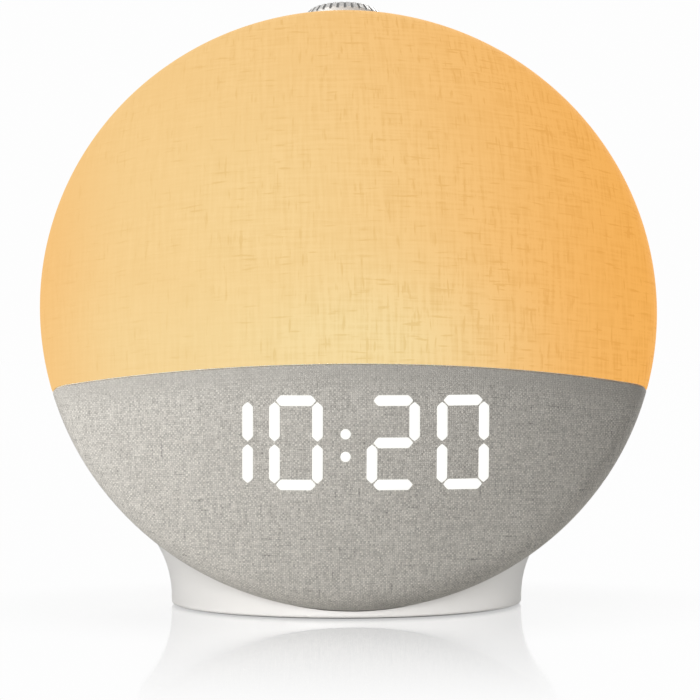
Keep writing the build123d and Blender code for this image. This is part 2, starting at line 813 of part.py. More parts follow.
def speaker_frame():
    wide = SPEAKER_OPEN_R - 0.3
    body = turned(
        [
            (SPEAKER_FLANGE_R, FLANGE_BACK),
            (SPEAKER_FLANGE_R, FLANGE_FRONT),
            (wide + 1.2, FLANGE_FRONT),
            (18.2, BASKET_FRONT - 1.2),
            (18.2, BASKET_FRONT),
            (PLATE_BORE, BASKET_FRONT),
            (PLATE_BORE, BASKET_FRONT - 1.0),
            (17.4, BASKET_FRONT - 1.0),
            (wide, FLANGE_BACK + 1.3),
            (wide, FLANGE_BACK),
        ]
    )
    window = block((-6.5, 6.5), (12, SPEAKER_FLANGE_R), (CONE_NECK + 1.2, BASKET_FRONT - 1.8))
    body -= [Rot(0, 0, 45 + 90 * i) * window for i in range(4)]
    for x, y in speaker_screw_centres():
        hole = (x, y - SPEAKER_Y)
        body -= rod(SMALL_R + HOLE_CLEAR, FLANGE_BACK - 1, FLANGE_FRONT + 1, hole)
        body -= rod(SMALL_HEAD_R + HOLE_CLEAR, FLANGE_FRONT, FLANGE_FRONT + 3, hole)
    return at_speaker(body)


def speaker_gasket():
    ring = tube(SPEAKER_FLANGE_R, SPEAKER_OPEN_R, LEDGE_FRONT, FLANGE_BACK)
    ring -= [
        rod(SMALL_R + HOLE_CLEAR, LEDGE_FRONT - 1, FLANGE_BACK + 1, (x, y - SPEAKER_Y))
        for x, y in speaker_screw_centres()
    ]
    return at_speaker(ring)


def speaker_top_plate():
    return at_speaker(tube(YOKE_R, PLATE_BORE, BASKET_FRONT, BASKET_FRONT + TOP_PLATE))


def speaker_magnet():
    low = BASKET_FRONT + TOP_PLATE
    return at_speaker(tube(YOKE_R, PLATE_BORE + 0.6, low, low + MAGNET_THICK))


def speaker_yoke():
    back = BASKET_FRONT + TOP_PLATE + MAGNET_THICK
    return at_speaker(rod(YOKE_R, back, back + YOKE_BACK) + rod(POLE_R, BASKET_FRONT, back))


def speaker_cone():
    """Paper cone with the coil former at its neck."""
    rim = FLANGE_BACK + 0.5
    return at_speaker(
        turned(
            [
                (COIL[0], BASKET_FRONT + 4.0),
                (COIL[1], BASKET_FRONT + 4.0),
                (COIL[1], CONE_NECK),
                (CONE_EDGE_R, rim + 0.5),
                (CONE_EDGE_R, rim),
                (COIL[0], CONE_NECK - 0.6),
            ]
        )
    )


def dust_cap():
    """A shallow dome over the cone's neck, glued inside the cone."""
    dome_r = 10.0
    reach = COIL[0] + 0.9
    drop = sqrt(dome_r**2 - reach**2)
    seat = CONE_NECK - 1.5
    dome = Sphere(dome_r) - Sphere(dome_r - 0.4)
    dome = Pos(0, 0, seat + drop) * (dome & block((-BIG, BIG), (-BIG, BIG), (-BIG, -drop)))
    return at_speaker(dome)


def speaker_surround():
    """Half-round rubber roll between the cone's edge and the frame, clear of the grille."""
    outer = SPEAKER_OPEN_R - 0.35
    edge = FLANGE_BACK + 0.45
    middle = (outer + CONE_EDGE_R + 0.1) / 2
    drop = edge - LEDGE_BACK - CONE_TRAVEL - 0.85
    roll = ThreePointArc((CONE_EDGE_R + 0.3, edge), (middle, edge - drop), (outer - 0.2, edge))
    return at_speaker(revolve(Plane.XZ * trace(roll, line_width=0.4), Axis.Z))


def speaker_spider():
    level = CONE_NECK + 0.2
    slope = (SPEAKER_OPEN_R - 0.3 - 17.4) / (BASKET_FRONT - 1.0 - FLANGE_BACK - 1.3)
    reach = 17.4 + slope * (BASKET_FRONT - 1.0 - level) - 0.25
    return at_speaker(tube(reach - 0.25, COIL[1] + 0.05, level, level + SPIDER_THICK))


def speaker_grille():
    disc = rod(GRILLE_R, GRILLE_BACK, LEDGE_BACK)
    slots = []
    rows = int((GRILLE_R - 5) / SLOT_PITCH)
    for i in range(-rows, rows + 1):
        y = i * SLOT_PITCH
        length = 2 * sqrt((GRILLE_R - 4) ** 2 - y**2)
        slot = extrude(Pos(0, y) * SlotOverall(length, SLOT_WIDTH), 4)
        slots.append(Pos(0, 0, GRILLE_BACK - 1) * slot)
    return at_speaker(disc - slots)


# ---------------------------------------------------------------- dial


def d_rod(radius, flat, low, high):
    """A round bar with one flat."""
    return rod(radius, low, high) & block((-BIG, BIG), (-BIG, flat), (low, high))


def dial_shaft():
    round_part = rod(SHAFT_R, ROTOR[1] + 1.0, GRIP_LOW)
    drive = d_rod(SHAFT_R, SHAFT_FLAT, SHAFT_LOW, ROTOR[1] + 1.0)
    grip = d_rod(SHAFT_R, SHAFT_FLAT, GRIP_LOW, SHAFT_HIGH)
    return on_dial(round_part + drive + grip)


def encoder_rotor():
    hole = d_rod(SHAFT_R + RUNNING, SHAFT_FLAT + RUNNING, ROTOR[0] - 1, ROTOR[1] + 1)
    return on_dial(rod(ROTOR_R, *ROTOR) - hole)


def encoder_housing():
    half = ENCODER_SIDE / 2
    body = block((-half, half), (-half, half), (ENCODER_LOW, ENCODER_HIGH))
    body += rod(BUSH_R, ENCODER_HIGH, BUSH_HIGH)
    body -= rod(ROTOR_R - 0.75, ENCODER_LOW + 1, ENCODER_HIGH - 0.8)
    body -= rod(ROTOR_R + RUNNING, ROTOR[0] - RUNNING, ROTOR[1] + RUNNING)
    body -= rod(SHAFT_R + RUNNING, ENCODER_LOW + 1, BUSH_HIGH + 1)
    return on_dial(body)


def encoder_nut():
    hexagon = extrude(RegularPolygon(NUT_FLATS / 2, 6, major_radius=False), NUT_HEIGHT)
    nut = Pos(0, 0, DECK) * hexagon - rod(BUSH_R + PILOT, DECK - 1, DECK + NUT_HEIGHT + 1)
    return on_dial(nut)


def encoder_board():
    x, y = ENCODER_BOARD
    plate = block((-x, x), (-y, y), (ENCODER_LOW - BOARD, ENCODER_LOW))
    holes = [
        rod(SMALL_R + HOLE_CLEAR, ENCODER_LOW - BOARD - 1, ENCODER_LOW + 1, p)
        for p in encoder_post_centres()
    ]
    return on_dial(plate - holes)


def dial_knob():
    body = turned(
        [
            (0, DIAL_LOW),
            (DIAL_R, DIAL_LOW),
            (DIAL_R, DIAL_HIGH - BEVEL_HEIGHT),
            (DIAL_R - BEVEL_WIDTH, DIAL_HIGH),
            (0, DIAL_HIGH),
        ]
    )
    hollow = rod(DIAL_R - DIAL_WALL, DIAL_LOW - 1, DIAL_HIGH - DIAL_ROOF)
    hollow -= rod(SHAFT_R + 2.0, GRIP_LOW, DIAL_HIGH)
    body -= hollow
    body -= d_rod(SHAFT_R + 0.02, SHAFT_FLAT + 0.02, DIAL_LOW - 1, SHAFT_HIGH + 0.3)
    body -= rod(CAP_R + 0.1, DIAL_HIGH - CAP_RECESS, DIAL_HIGH + 1)
    steep = Vector(-BEVEL_WIDTH, 0, BEVEL_HEIGHT)
    middle = (DIAL_R - BEVEL_WIDTH / 2, 0, DIAL_HIGH - BEVEL_HEIGHT / 2)
    groove = Plane(origin=middle, z_dir=steep) * Cylinder(RIB_GROOVE_R, steep.length + 1.0)
    body -= [Rot(0, 0, 360 * i / RIBS) * groove for i in range(RIBS)]
    return on_dial(body)


def dial_cap():
    low = DIAL_HIGH - CAP_RECESS
    cap = rod(CAP_R, low, low + CAP_THICK)
    return on_dial(chamfer(cap.edges().group_by(Axis.Z)[-1], 0.2))


# ---------------------------------------------------------------- foot


def foot_section(height):
    """Half width, front reach, rear reach and middle's y of the foot's outside at a height.

    The wall stands upright, flares out along an arc up to the turn, and then rounds over and leans
    forward until it has gone under the lens.
    """
    turn = FLARE_START + FLARE_RISE
    rise = min(max(height - FLARE_START, 0), FLARE_RISE)
    flare = FLARE_RADIUS - sqrt(FLARE_RADIUS**2 - rise**2)
    over = max(height - turn, 0) / (FOOT_LEVELS[-1] - turn)
    side = FOOT_X + flare + SHOULDER * sin(pi * min(over * 2, 1)) - SIDE_TUCK * over**SIDE_BEND
    front = FOOT_FRONT + flare - FRONT_TUCK * over
    rear = FOOT_REAR + REAR_FLARE * flare - REAR_TUCK * over**REAR_BEND
    middle = -MIDDLE_SHIFT * over**MIDDLE_BEND
    return side, front, rear - middle, middle


FOOT_LEVELS = [FOOT_HEIGHT * i / FOOT_STEPS for i in range(FOOT_STEPS + 1)]


def oval(side, front, back, middle=0.0):
    """An oval with short straight flanks, whose front and rear halves reach differently."""
    ahead = middle - FLANK
    front_half = EllipticalCenterArc((0, ahead), side, front - FLANK, start_angle=180, arc_size=180)
    rear_half = EllipticalCenterArc((0, middle), side, back, start_angle=0, arc_size=180)
    left = Line((-side, middle), (-side, ahead))
    right = Line((side, ahead), (side, middle))
    return make_face([rear_half, left, front_half, right])


def foot_mound(inset):
    """The foot's outside, moved in by inset."""
    sections = []
    for z in FOOT_LEVELS:
        side, front, back, middle = foot_section(z)
        sections.append(Pos(0, 0, z) * oval(side - inset, front - inset, back - inset, middle))
    return loft(sections)


def foot_outline(inset, front_inset, low, high):
    face = oval(FOOT_X - inset, FOOT_FRONT - front_inset, FOOT_REAR - inset)
    return Pos(0, 0, low) * extrude(face, high - low)


def above(height):
    return block((-BIG, BIG), (-BIG, BIG), (height, BIG))


def foot_shell(lens_outside, lens_wall):
    mound = foot_mound(0) & above(PLATE_LOW)
    outer = fillet(mound.edges().group_by(Axis.Z)[0], FOOT_EDGE) - lens_outside
    room = foot_mound(FOOT_WALL) & above(PLATE_TOP)
    room &= block((-BIG, BIG), (-FOOT_FRONT + PLATE_FRONT_INSET + 2, BIG), (-BIG, BIG))
    room -= lens_wall
    room -= block((-PANEL_X - 2, PANEL_X + 2), (PANEL_Y - PANEL_WALL, BIG), (-BIG, PANEL_Z[1] + 2))
    body = outer - room
    posts = [rod(FOOT_POST_R, PLATE_TOP + 2.2, BIG, p) & outer for p in FOOT_POSTS]
    necks = [
        rod(NECK_BOSS_R, NECK_HEAD_Z, NECK_TOP_Z, (x, NECK_Y)) & outer for x in (-NECK_X, NECK_X)
    ]
    body += posts + necks
    plate_seat = foot_outline(PLATE_INSET - CLEAR, PLATE_FRONT_INSET - CLEAR, 0, PLATE_TOP)
    body -= plate_seat
    body -= [rod(SCREW_R + PILOT, 0, PLATE_TOP + 12, p) for p in FOOT_POSTS]
    for x in (-NECK_X, NECK_X):
        body -= rod(SCREW_R + HOLE_CLEAR, 0, BIG, (x, NECK_Y))
    body -= rod(CABLE_HOLE_R, PLATE_TOP + 6, BIG, (0, NECK_Y))
    recess = block((-PANEL_X, PANEL_X), (PANEL_Y, BIG), PANEL_Z)
    body -= fillet(recess.edges().filter_by(Axis.Y), 3.0)
    half_w, half_h = SOCKET[0] / 2 + 0.2, SOCKET[2] / 2 + 0.2
    socket_z = IO_BOARD_TOP + SOCKET[2] / 2
    mouth = block((-half_w, half_w), (0, BIG), (socket_z - half_h, socket_z + half_h))
    body -= fillet(mouth.edges().filter_by(Axis.Y), half_h - 0.3)
    knob_w, knob_h = SWITCH_KNOB
    travel = SWITCH_TRAVEL / 2
    body -= block(
        (SWITCH_X - knob_w / 2 - travel - CLEAR, SWITCH_X + knob_w / 2 + travel + CLEAR),
        (PANEL_Y - PANEL_WALL - 1, BIG),
        (CONTROL_Z - knob_h / 2 - CLEAR, CONTROL_Z + knob_h / 2 + CLEAR),
    )
    return body - rear_rod(BUTTON_R + CLEAR, BUTTON_X, (PANEL_Y - PANEL_WALL - 1, BIG))


def rear_rod(radius, x, y_range):
    """A cylinder along the row's y axis at the height of the rear controls."""
    length = y_range[1] - y_range[0]
    bar_plane = Plane(origin=(x, y_range[0], CONTROL_Z), z_dir=(0, 1, 0))
    return bar_plane * Cylinder(radius, length, align=(Align.CENTER, Align.CENTER, Align.MIN))


def bottom_plate():
    plate = foot_outline(PLATE_INSET, PLATE_FRONT_INSET, PLATE_LOW, PLATE_TOP)
    plate += [rod(FOOT_POST_R + 0.8, PLATE_LOW, PLATE_TOP + 2.0, p) for p in FOOT_POSTS]
    plate += [rod(2.6, PLATE_LOW, IO_BOARD_LOW, p) for p in io_post_centres()]
    plate -= [rod(HEAD_R + CLEAR, 0, PLATE_TOP - 0.2, p) for p in FOOT_POSTS]
    plate -= [rod(SCREW_R + HOLE_CLEAR, 0, PLATE_TOP + 3, p) for p in FOOT_POSTS]
    plate -= [rod(SMALL_R + PILOT, PLATE_TOP, IO_BOARD_LOW + 1, p) for p in io_post_centres()]
    return plate - foot_outline(PAD_INSET, PLATE_FRONT_INSET + 3, 0, PAD_THICK)


def foot_pad():
    return foot_outline(PAD_INSET + 0.1, PLATE_FRONT_INSET + 3.1, 0, PAD_THICK)


def ballast_plate():
    return block(*BALLAST, (PLATE_TOP, PLATE_TOP + BALLAST_THICK))


# ---------------------------------------------------------------- rear controls and socket


def io_post_centres():
    return [(sx * (IO_BOARD_X - 3), IO_BOARD_FRONT + 3) for sx in (-1, 1)]


def io_board():
    """The board ends short of where the pressed reset button's collar comes."""
    rear = TACT_FACE + PLUNGER_PROUD - BUTTON_TRAVEL - CLEAR
    plate = block((-IO_BOARD_X, IO_BOARD_X), (IO_BOARD_FRONT, rear), (IO_BOARD_LOW, IO_BOARD_TOP))
    holes = [rod(SMALL_R + HOLE_CLEAR, 0, IO_BOARD_TOP + 1, p) for p in io_post_centres()]
    return plate - holes


def power_socket():
    """A small oval power socket with its contact tongue."""
    wide, deep, tall = SOCKET
    mouth = PANEL_Y - 0.4
    low = IO_BOARD_TOP
    outside = block((-wide / 2, wide / 2), (mouth - deep, mouth), (low, low + tall))
    outside = fillet(outside.edges().filter_by(Axis.Y), tall / 2 - 0.1)
    wall = SOCKET_WALL
    inside = block(
        (-wide / 2 + wall, wide / 2 - wall),
        (mouth - deep + 1, mouth + 1),
        (low + wall, low + tall - wall),
    )
    inside = fillet(inside.edges().filter_by(Axis.Y), tall / 2 - wall - 0.1)
    middle = low + tall / 2
    tongue = block((-3.2, 3.2), (mouth - deep + 0.5, mouth - 0.9), (middle - 0.35, middle + 0.35))
    return (outside - inside) + tongue


def slide_switch_body():
    """The slide switch's case, open at the back where its slider runs."""
    wide, deep = 9.0, 4.2
    back = PANEL_Y - PANEL_WALL - CLEAR
    case = block(
        (SWITCH_X - wide / 2, SWITCH_X + wide / 2),
        (back - deep, back),
        (IO_BOARD_TOP, CONTROL_Z + 2.4),
    )
    room = block(
        (SWITCH_X - wide / 2 + 0.8, SWITCH_X + wide / 2 - 0.8),
        (back - deep + 0.8, back - 0.6),
        (CONTROL_Z - 1.6, CONTROL_Z + 1.6),
    )
    slot = block(
        (SWITCH_X - 3.3, SWITCH_X + 3.3), (back - 2, back + 1), (CONTROL_Z - 1.2, CONTROL_Z + 1.2)
    )
    return case - room - slot


def switch_slider():
    """The slider at its left stop, with its shoe inside the case."""
    wide, tall = SWITCH_KNOB
    back = PANEL_Y - PANEL_WALL - CLEAR
    x = SWITCH_X - SWITCH_TRAVEL / 2
    knob = block(
        (x - wide / 2, x + wide / 2),
        (back - 1.2, PANEL_Y + SWITCH_PROUD),
        (CONTROL_Z - tall / 2, CONTROL_Z + tall / 2),
    )
    shoe = block((x - 2.1, x + 2.1), (back - 3.3, back - 0.65), (CONTROL_Z - 1.5, CONTROL_Z + 1.5))
    grooves = [
        block((x + k - 0.15, x + k + 0.15), (PANEL_Y + SWITCH_PROUD - 0.4, BIG), (0, BIG))
        for k in (-0.9, 0.0, 0.9)
    ]
    return (knob + shoe) - grooves


TACT_FACE = PANEL_Y - PANEL_WALL - 1.4


def button_switch_body():
    case = block(
        (BUTTON_X - 3, BUTTON_X + 3), (TACT_FACE - 4.0, TACT_FACE), (IO_BOARD_TOP, CONTROL_Z + 2.6)
    )
    bore = (TACT_FACE - PLUNGER_DEEP - BUTTON_TRAVEL - CLEAR, TACT_FACE + 1)
    return case - rear_rod(PLUNGER_R + CLEAR, BUTTON_X, bore)


def button_plunger():
    return rear_rod(PLUNGER_R, BUTTON_X, (TACT_FACE - PLUNGER_DEEP, TACT_FACE + PLUNGER_PROUD))


def reset_button():
    """A round cap whose collar stops it behind the wall."""
    inner = PANEL_Y - PANEL_WALL
    low = TACT_FACE + PLUNGER_PROUD
    cap = rear_rod(BUTTON_R, BUTTON_X, (low, PANEL_Y + BUTTON_PROUD))
    cap = chamfer(cap.edges().sort_by(Axis.Y)[-1], 0.3)
    return cap + rear_rod(BUTTON_R + 0.9, BUTTON_X, (low, inner - 0.1))


# ---------------------------------------------------------------- screws and wiring


def lens_screws(centres, seat, tip, small=False):
    size = (SMALL_R, SMALL_HEAD_R, SMALL_HEAD_H) if small else (SCREW_R, HEAD_R, HEAD_H)
    return in_lens(group(screw(p, seat, tip, *size) for p in centres))


def encoder_screws():
    seat = ENCODER_LOW - BOARD
    solids = [
        screw(p, seat, ENCODER_LOW + 6, SMALL_R, SMALL_HEAD_R, SMALL_HEAD_H)
        for p in encoder_post_centres()
    ]
    return on_dial(group(solids))


def neck_screws():
    centres = [(x, NECK_Y) for x in (-NECK_X, NECK_X)]
    return group(screw(p, NECK_HEAD_Z, NECK_TOP_Z - 2) for p in centres)


def bottom_screws():
    return group(
        screw(p, PLATE_TOP - 0.2, PLATE_TOP + 11, head_height=PLATE_TOP - 0.2 - PAD_THICK)
        for p in FOOT_POSTS
    )


def io_screws():
    solids = [
        screw(p, IO_BOARD_TOP, PLATE_TOP + 0.4, SMALL_R, SMALL_HEAD_R, SMALL_HEAD_H)
        for p in io_post_centres()
    ]
    return group(solids)


def cable(points, radius, bends):
    """A round cable along straight runs joined by arcs, in the row frame."""
    path = FilletPolyline(*points, radius=bends)
    start = Plane(origin=path @ 0, z_dir=path % 0)
    return sweep(start * Circle(radius), path=path)


def lens_point(x, y, z):
    """A lens-frame point in the row frame."""
    return LENS.from_local_coords(Vector(x, y, z))


def power_harness():
    """Sheathed wires from the socket board up through the neck to the main board."""
    points = [
        Vector(-6, 12, IO_BOARD_TOP + 2.0),
        Vector(-4, 1, IO_BOARD_TOP + 6.5),
        Vector(0, NECK_Y + 1, 26),
        Vector(0, NECK_Y, NECK_TOP_Z - 5),
        lens_point(-14, -48, -15),
        lens_point(-33, -38, -12),
        lens_point(-42, -10, -11),
        lens_point(-40, 20, -13.4),
        lens_point(-39, 31.7, -12.9),
    ]
    return cable(points, 1.7, 6.0)


def speaker_lead():
    """A pair of wires from the speaker's frame to the main board."""
    points = [
        lens_point(12, 10.6, -16.0),
        lens_point(12, 15, -14.5),
        lens_point(6, 20, -13),
        lens_point(1, 26.5, -12.2),
    ]
    return cable(points, 0.9, 1.9)


def encoder_ribbon():
    """Flat cable from the encoder board down to the main board."""
    path = FilletPolyline(
        (ENCODER_LOW - BOARD, -DIAL_BACK + 3),
        (76.0, -DIAL_BACK + 3),
        (72.0, MAIN_BACK - 1.2),
        (65.6, MAIN_BACK - 1.2),
        radius=1.5,
    )
    strip = Plane.YZ * trace(path, line_width=RIBBON_THICK)
    return in_lens(Pos(-4, 0, 0) * extrude(strip, 8, dir=(1, 0, 0)))


# ---------------------------------------------------------------- the whole clock


def build():
    paths = light_paths()
    skin_inside = in_lens(lens_solid(SHELL_OUT))
    lens_outside = in_lens(lens_solid(-CLEAR))
    lens_wall = in_lens(lens_solid(-CLEAR - FOOT_WALL))
    shell_posts_at = ring_points(SHELL_POST_RING, SHELL_POST_ANGLES)
    casing_posts_at = ring_points(CASING_POST_RING, CASING_POST_ANGLES)
    light_posts_at = ring_points(LIGHT_SCREW_RING, LIGHT_SCREW_ANGLES)
    return {
        "upper_fabric_cover": in_lens(front_layer(0, FABRIC, UPPER_Y)),
        "upper_diffuser_shell": in_lens(front_shell(UPPER_Y)),
        "lower_fabric_cover": in_lens(front_layer(0, FABRIC, LOWER_Y)),
        "lower_front_shell": lower_front_shell(),
        "light_divider": light_divider(),
        "chassis_plate": chassis_plate(),
        "heat_spreader": heat_spreader(),
        "light_board": light_board(),
        "light_leds": light_leds(),
        "light_reflector": light_reflector(),
        "display_board": display_board(),
        "display_leds": display_leds(paths),
        "display_light_box": display_light_box(paths, skin_inside),
        "segment_guides": segment_guides(paths, skin_inside),
        "main_board": main_board(),
        "wireless_module": wireless_module(),
        "main_chips": main_chips(),
        "power_capacitors": power_capacitors(),
        "cell_holder": cell_holder(),
        "backup_cell": backup_cell(),
        "board_connectors": board_connectors(),
        "light_link": light_link(),
        "display_ribbon": display_ribbon(),
        "rear_casing": rear_casing(),
        "speaker_frame": speaker_frame(),
        "speaker_gasket": speaker_gasket(),
        "speaker_top_plate": speaker_top_plate(),
        "speaker_magnet": speaker_magnet(),
        "speaker_yoke": speaker_yoke(),
        "speaker_cone": speaker_cone(),
        "dust_cap": dust_cap(),
        "speaker_surround": speaker_surround(),
        "speaker_spider": speaker_spider(),
        "speaker_grille": speaker_grille(),
        "dial_knob": dial_knob(),
        "dial_cap": dial_cap(),
        "dial_shaft": dial_shaft(),
        "encoder_rotor": encoder_rotor(),
        "encoder_housing": encoder_housing(),
        "encoder_nut": encoder_nut(),
        "encoder_board": encoder_board(),
        "encoder_ribbon": encoder_ribbon(),
        "foot_shell": foot_shell(lens_outside, lens_wall),
        "bottom_plate": bottom_plate(),
        "foot_pad": foot_pad(),
        "ballast_plate": ballast_plate(),
        "io_board": io_board(),
        "power_socket": power_socket(),
        "slide_switch_body": slide_switch_body(),
        "switch_slider": switch_slider(),
        "button_switch_body": button_switch_body(),
        "button_plunger": button_plunger(),
        "reset_button": reset_button(),
        "power_harness": power_harness(),
        "speaker_lead": speaker_lead(),
        "shell_screws": lens_screws(shell_posts_at, CHASSIS_BACK, CHASSIS_FRONT + 6),
        "casing_screws": lens_screws(casing_posts_at, CASING_HEAD, CASING_POST_END + 6),
        "board_screws": group(
            [
                *lens_screws(main_post_centres(), MAIN_BACK, MAIN_FRONT + 4, small=True).solids(),
                *lens_screws(
                    display_post_centres(), DISPLAY_BOARD_FRONT, DISPLAY_BOARD_BACK - 5, small=True
                ).solids(),
                *lens_screws(light_posts_at, LIGHT_FRONT, CHASSIS_BACK).solids(),
                *encoder_screws().solids(),
                *io_screws().solids(),
            ]
        ),
        "speaker_screws": lens_screws(
            speaker_screw_centres(), FLANGE_FRONT, LEDGE_BACK + 0.6, small=True
        ),
        "foot_screws": group([*neck_screws().solids(), *bottom_screws().solids()]),
    }


def main():
    os.makedirs("parts", exist_ok=True)
    for name, shape in build().items():
        export_step(shape, f"parts/{name}.step")


main()
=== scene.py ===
"""Looks of the sunrise alarm clock: its stretched cloth covers, lit digits, finishes and studio.

Lengths are metres in the clock's own frame: +Z up, the face towards -Y, the foot's underside at 0.
The lens that carries the cloth leans back; its own frame has p to the right, q up the face and the
front axis out of its middle.
"""

import bmesh
import bpy
import numpy as np
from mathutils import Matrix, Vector


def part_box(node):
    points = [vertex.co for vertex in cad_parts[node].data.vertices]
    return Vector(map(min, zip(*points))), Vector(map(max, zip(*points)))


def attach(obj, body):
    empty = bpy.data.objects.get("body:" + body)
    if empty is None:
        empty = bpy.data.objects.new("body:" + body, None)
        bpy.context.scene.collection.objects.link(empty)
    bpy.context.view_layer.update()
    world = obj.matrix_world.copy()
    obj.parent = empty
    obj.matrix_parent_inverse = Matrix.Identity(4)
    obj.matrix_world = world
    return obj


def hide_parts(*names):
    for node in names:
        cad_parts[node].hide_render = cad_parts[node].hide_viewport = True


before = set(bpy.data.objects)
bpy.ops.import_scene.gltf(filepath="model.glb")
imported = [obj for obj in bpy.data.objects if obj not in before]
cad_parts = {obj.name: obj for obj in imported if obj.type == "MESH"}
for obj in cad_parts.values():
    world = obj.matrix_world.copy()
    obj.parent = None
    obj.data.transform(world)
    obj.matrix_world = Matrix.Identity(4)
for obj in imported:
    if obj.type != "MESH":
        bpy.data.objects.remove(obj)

bl_info = {
    "name": "Sunrise Clock Looks",
    "version": (1, 0, 0),
    "blender": (4, 5, 0),
    "location": "View3D > Sidebar > Sunrise Clock",
    "description": "Cloth, digits, finishes and studio of a sunrise alarm clock",
    "category": "Object",
}

MM = 0.001
TURN = 2 * np.pi
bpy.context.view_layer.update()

# The lens, from its profile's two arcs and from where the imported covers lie.
COVER_LOW, COVER_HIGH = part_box("upper_fabric_cover")
RADIUS = (COVER_HIGH.x - COVER_LOW.x) / 2
RIM = 14 * MM
DEPTH = 42.5 * MM
LEAN = np.radians(15)


def cap_radius(ring, rim, depth):
    """Radius of the ball that runs smoothly into a rim of that radius round a ring.

    The ball's middle is the cap's radius less the rim's from the ring, so by Pythagoras
    (cap - rim)**2 = ring**2 + (cap - depth)**2.
    """
    return (depth**2 + ring**2 - rim**2) / (2 * (depth - rim))


CAP = cap_radius(RADIUS - RIM, RIM, DEPTH)
HEIGHT = COVER_HIGH.z - (RADIUS - RIM) * np.cos(LEAN) - RIM
FORWARD = -(COVER_LOW.y + CAP + (DEPTH - CAP) * np.cos(LEAN))


# ---------------------------------------------------------------- sizes and colours


def a_length(name, description, default):
    return bpy.props.FloatProperty(
        name=name, description=description, unit="LENGTH", default=default
    )


def a_power(name, description, default):
    return bpy.props.FloatProperty(
        name=name, description=description, unit="POWER", default=default
    )


def a_colour(name, description, *default):
    return bpy.props.FloatVectorProperty(
        name=name, description=description, subtype="COLOR", size=4, default=(*default, 1)
    )


class LensSizes(bpy.types.PropertyGroup):
    radius: a_length("Radius", "Half the lens's width", RADIUS)
    rim: a_length("Rim", "Radius of the rounded rim", RIM)
    depth: a_length("Depth", "From the widest line to the tip", DEPTH)
    wrap: a_length("Wrap", "How far the cloth reaches behind the widest line", 4.2 * MM)
    lean: bpy.props.FloatProperty(
        name="Lean", description="How far the face leans back", subtype="ANGLE", default=LEAN
    )
    height: a_length("Height", "Middle of the lens above the table", HEIGHT)
    forward: a_length("Forward", "Middle of the lens in front of the foot's middle", FORWARD)
    seam: a_length("Seam", "The seam below the middle of the lens", 30.2 * MM)
    seam_gap: a_length("Seam gap", "Between the two covers' edges", 0.3 * MM)


class ClothSizes(bpy.types.PropertyGroup):
    thickness: a_length("Thickness", "Of either cloth", 0.75 * MM)
    tuck: a_length("Tuck", "How deep an edge rolls in", 0.3 * MM)
    roll: a_length("Roll", "How far from its edge a cloth rolls in", 0.8 * MM)
    lit_thread: a_length("Lit thread", "Between threads of the upper cloth", 0.6 * MM)
    grey_thread: a_length("Grey thread", "Between threads of the lower cloth", 0.66 * MM)


class DigitSizes(bpy.types.PropertyGroup):
    time: bpy.props.StringProperty(name="Time", description="Four digits", default="1020")
    height: a_length("Height", "Of a digit", 30.3 * MM)
    width: a_length("Width", "Of a digit", 17 * MM)
    stroke: a_length("Stroke", "Width of a bar", 3.4 * MM)
    gap: a_length("Gap", "Between bars", 0.5 * MM)
    middle: a_length("Middle", "Middle of the digits above the table", 58.8 * MM)
    lift: a_length("Lift", "How far the lit print stands out of the cloth", 0.08 * MM)
    dot: a_length("Dot", "Radius of the colon's dots", 1.65 * MM)


class Colours(bpy.types.PropertyGroup):
    glow_bright: a_colour("Glow, bright", "Light above the seam", 0.855, 0.646, 0.312)
    # glow_deep_and_shade also gives the painted shade on the right of the upper cloth
    glow_deep_and_shade: a_colour("Glow, deep", "Light at the far edge", 0.864, 0.355, 0.034)
    lit_cloth: a_colour("Lit cloth", "The upper cloth itself", 0.05, 0.045, 0.03)
    grey_cloth: a_colour("Grey cloth", "The lower cloth", 0.60, 0.575, 0.53)
    foot: a_colour("Foot", "Moulded foot", 0.78, 0.765, 0.745)


class StudioSizes(bpy.types.PropertyGroup):
    key: a_power("Key", "Lamp on the left", 41)
    foot_front: a_power("Foot, front", "Low lamp that lights the foot alone", 35)
    foot_sides: a_power("Foot, sides", "Each side lamp that lights the foot alone", 10)
    right: a_power("Right", "Lamp on the right, a little behind", 20)
    back: a_power("Back", "Lamp behind", 21)
    ambient: bpy.props.FloatProperty(
        name="Ambient", description="Level of the light from all round", default=0.11
    )
    shadow: bpy.props.FloatProperty(
        name="Shadow", description="Share of the foot's shadow that the floor shows", default=0.1
    )
    shine: bpy.props.FloatProperty(
        name="Shine", description="Share of the mirror image that the floor shows", default=0.42
    )
    fade: a_length("Fade", "Where the mirror image ends, in front of the foot", 0.26)
    floor_radius: a_length("Floor", "Radius of the floor", 3.0)


# ---------------------------------------------------------------- shader maths


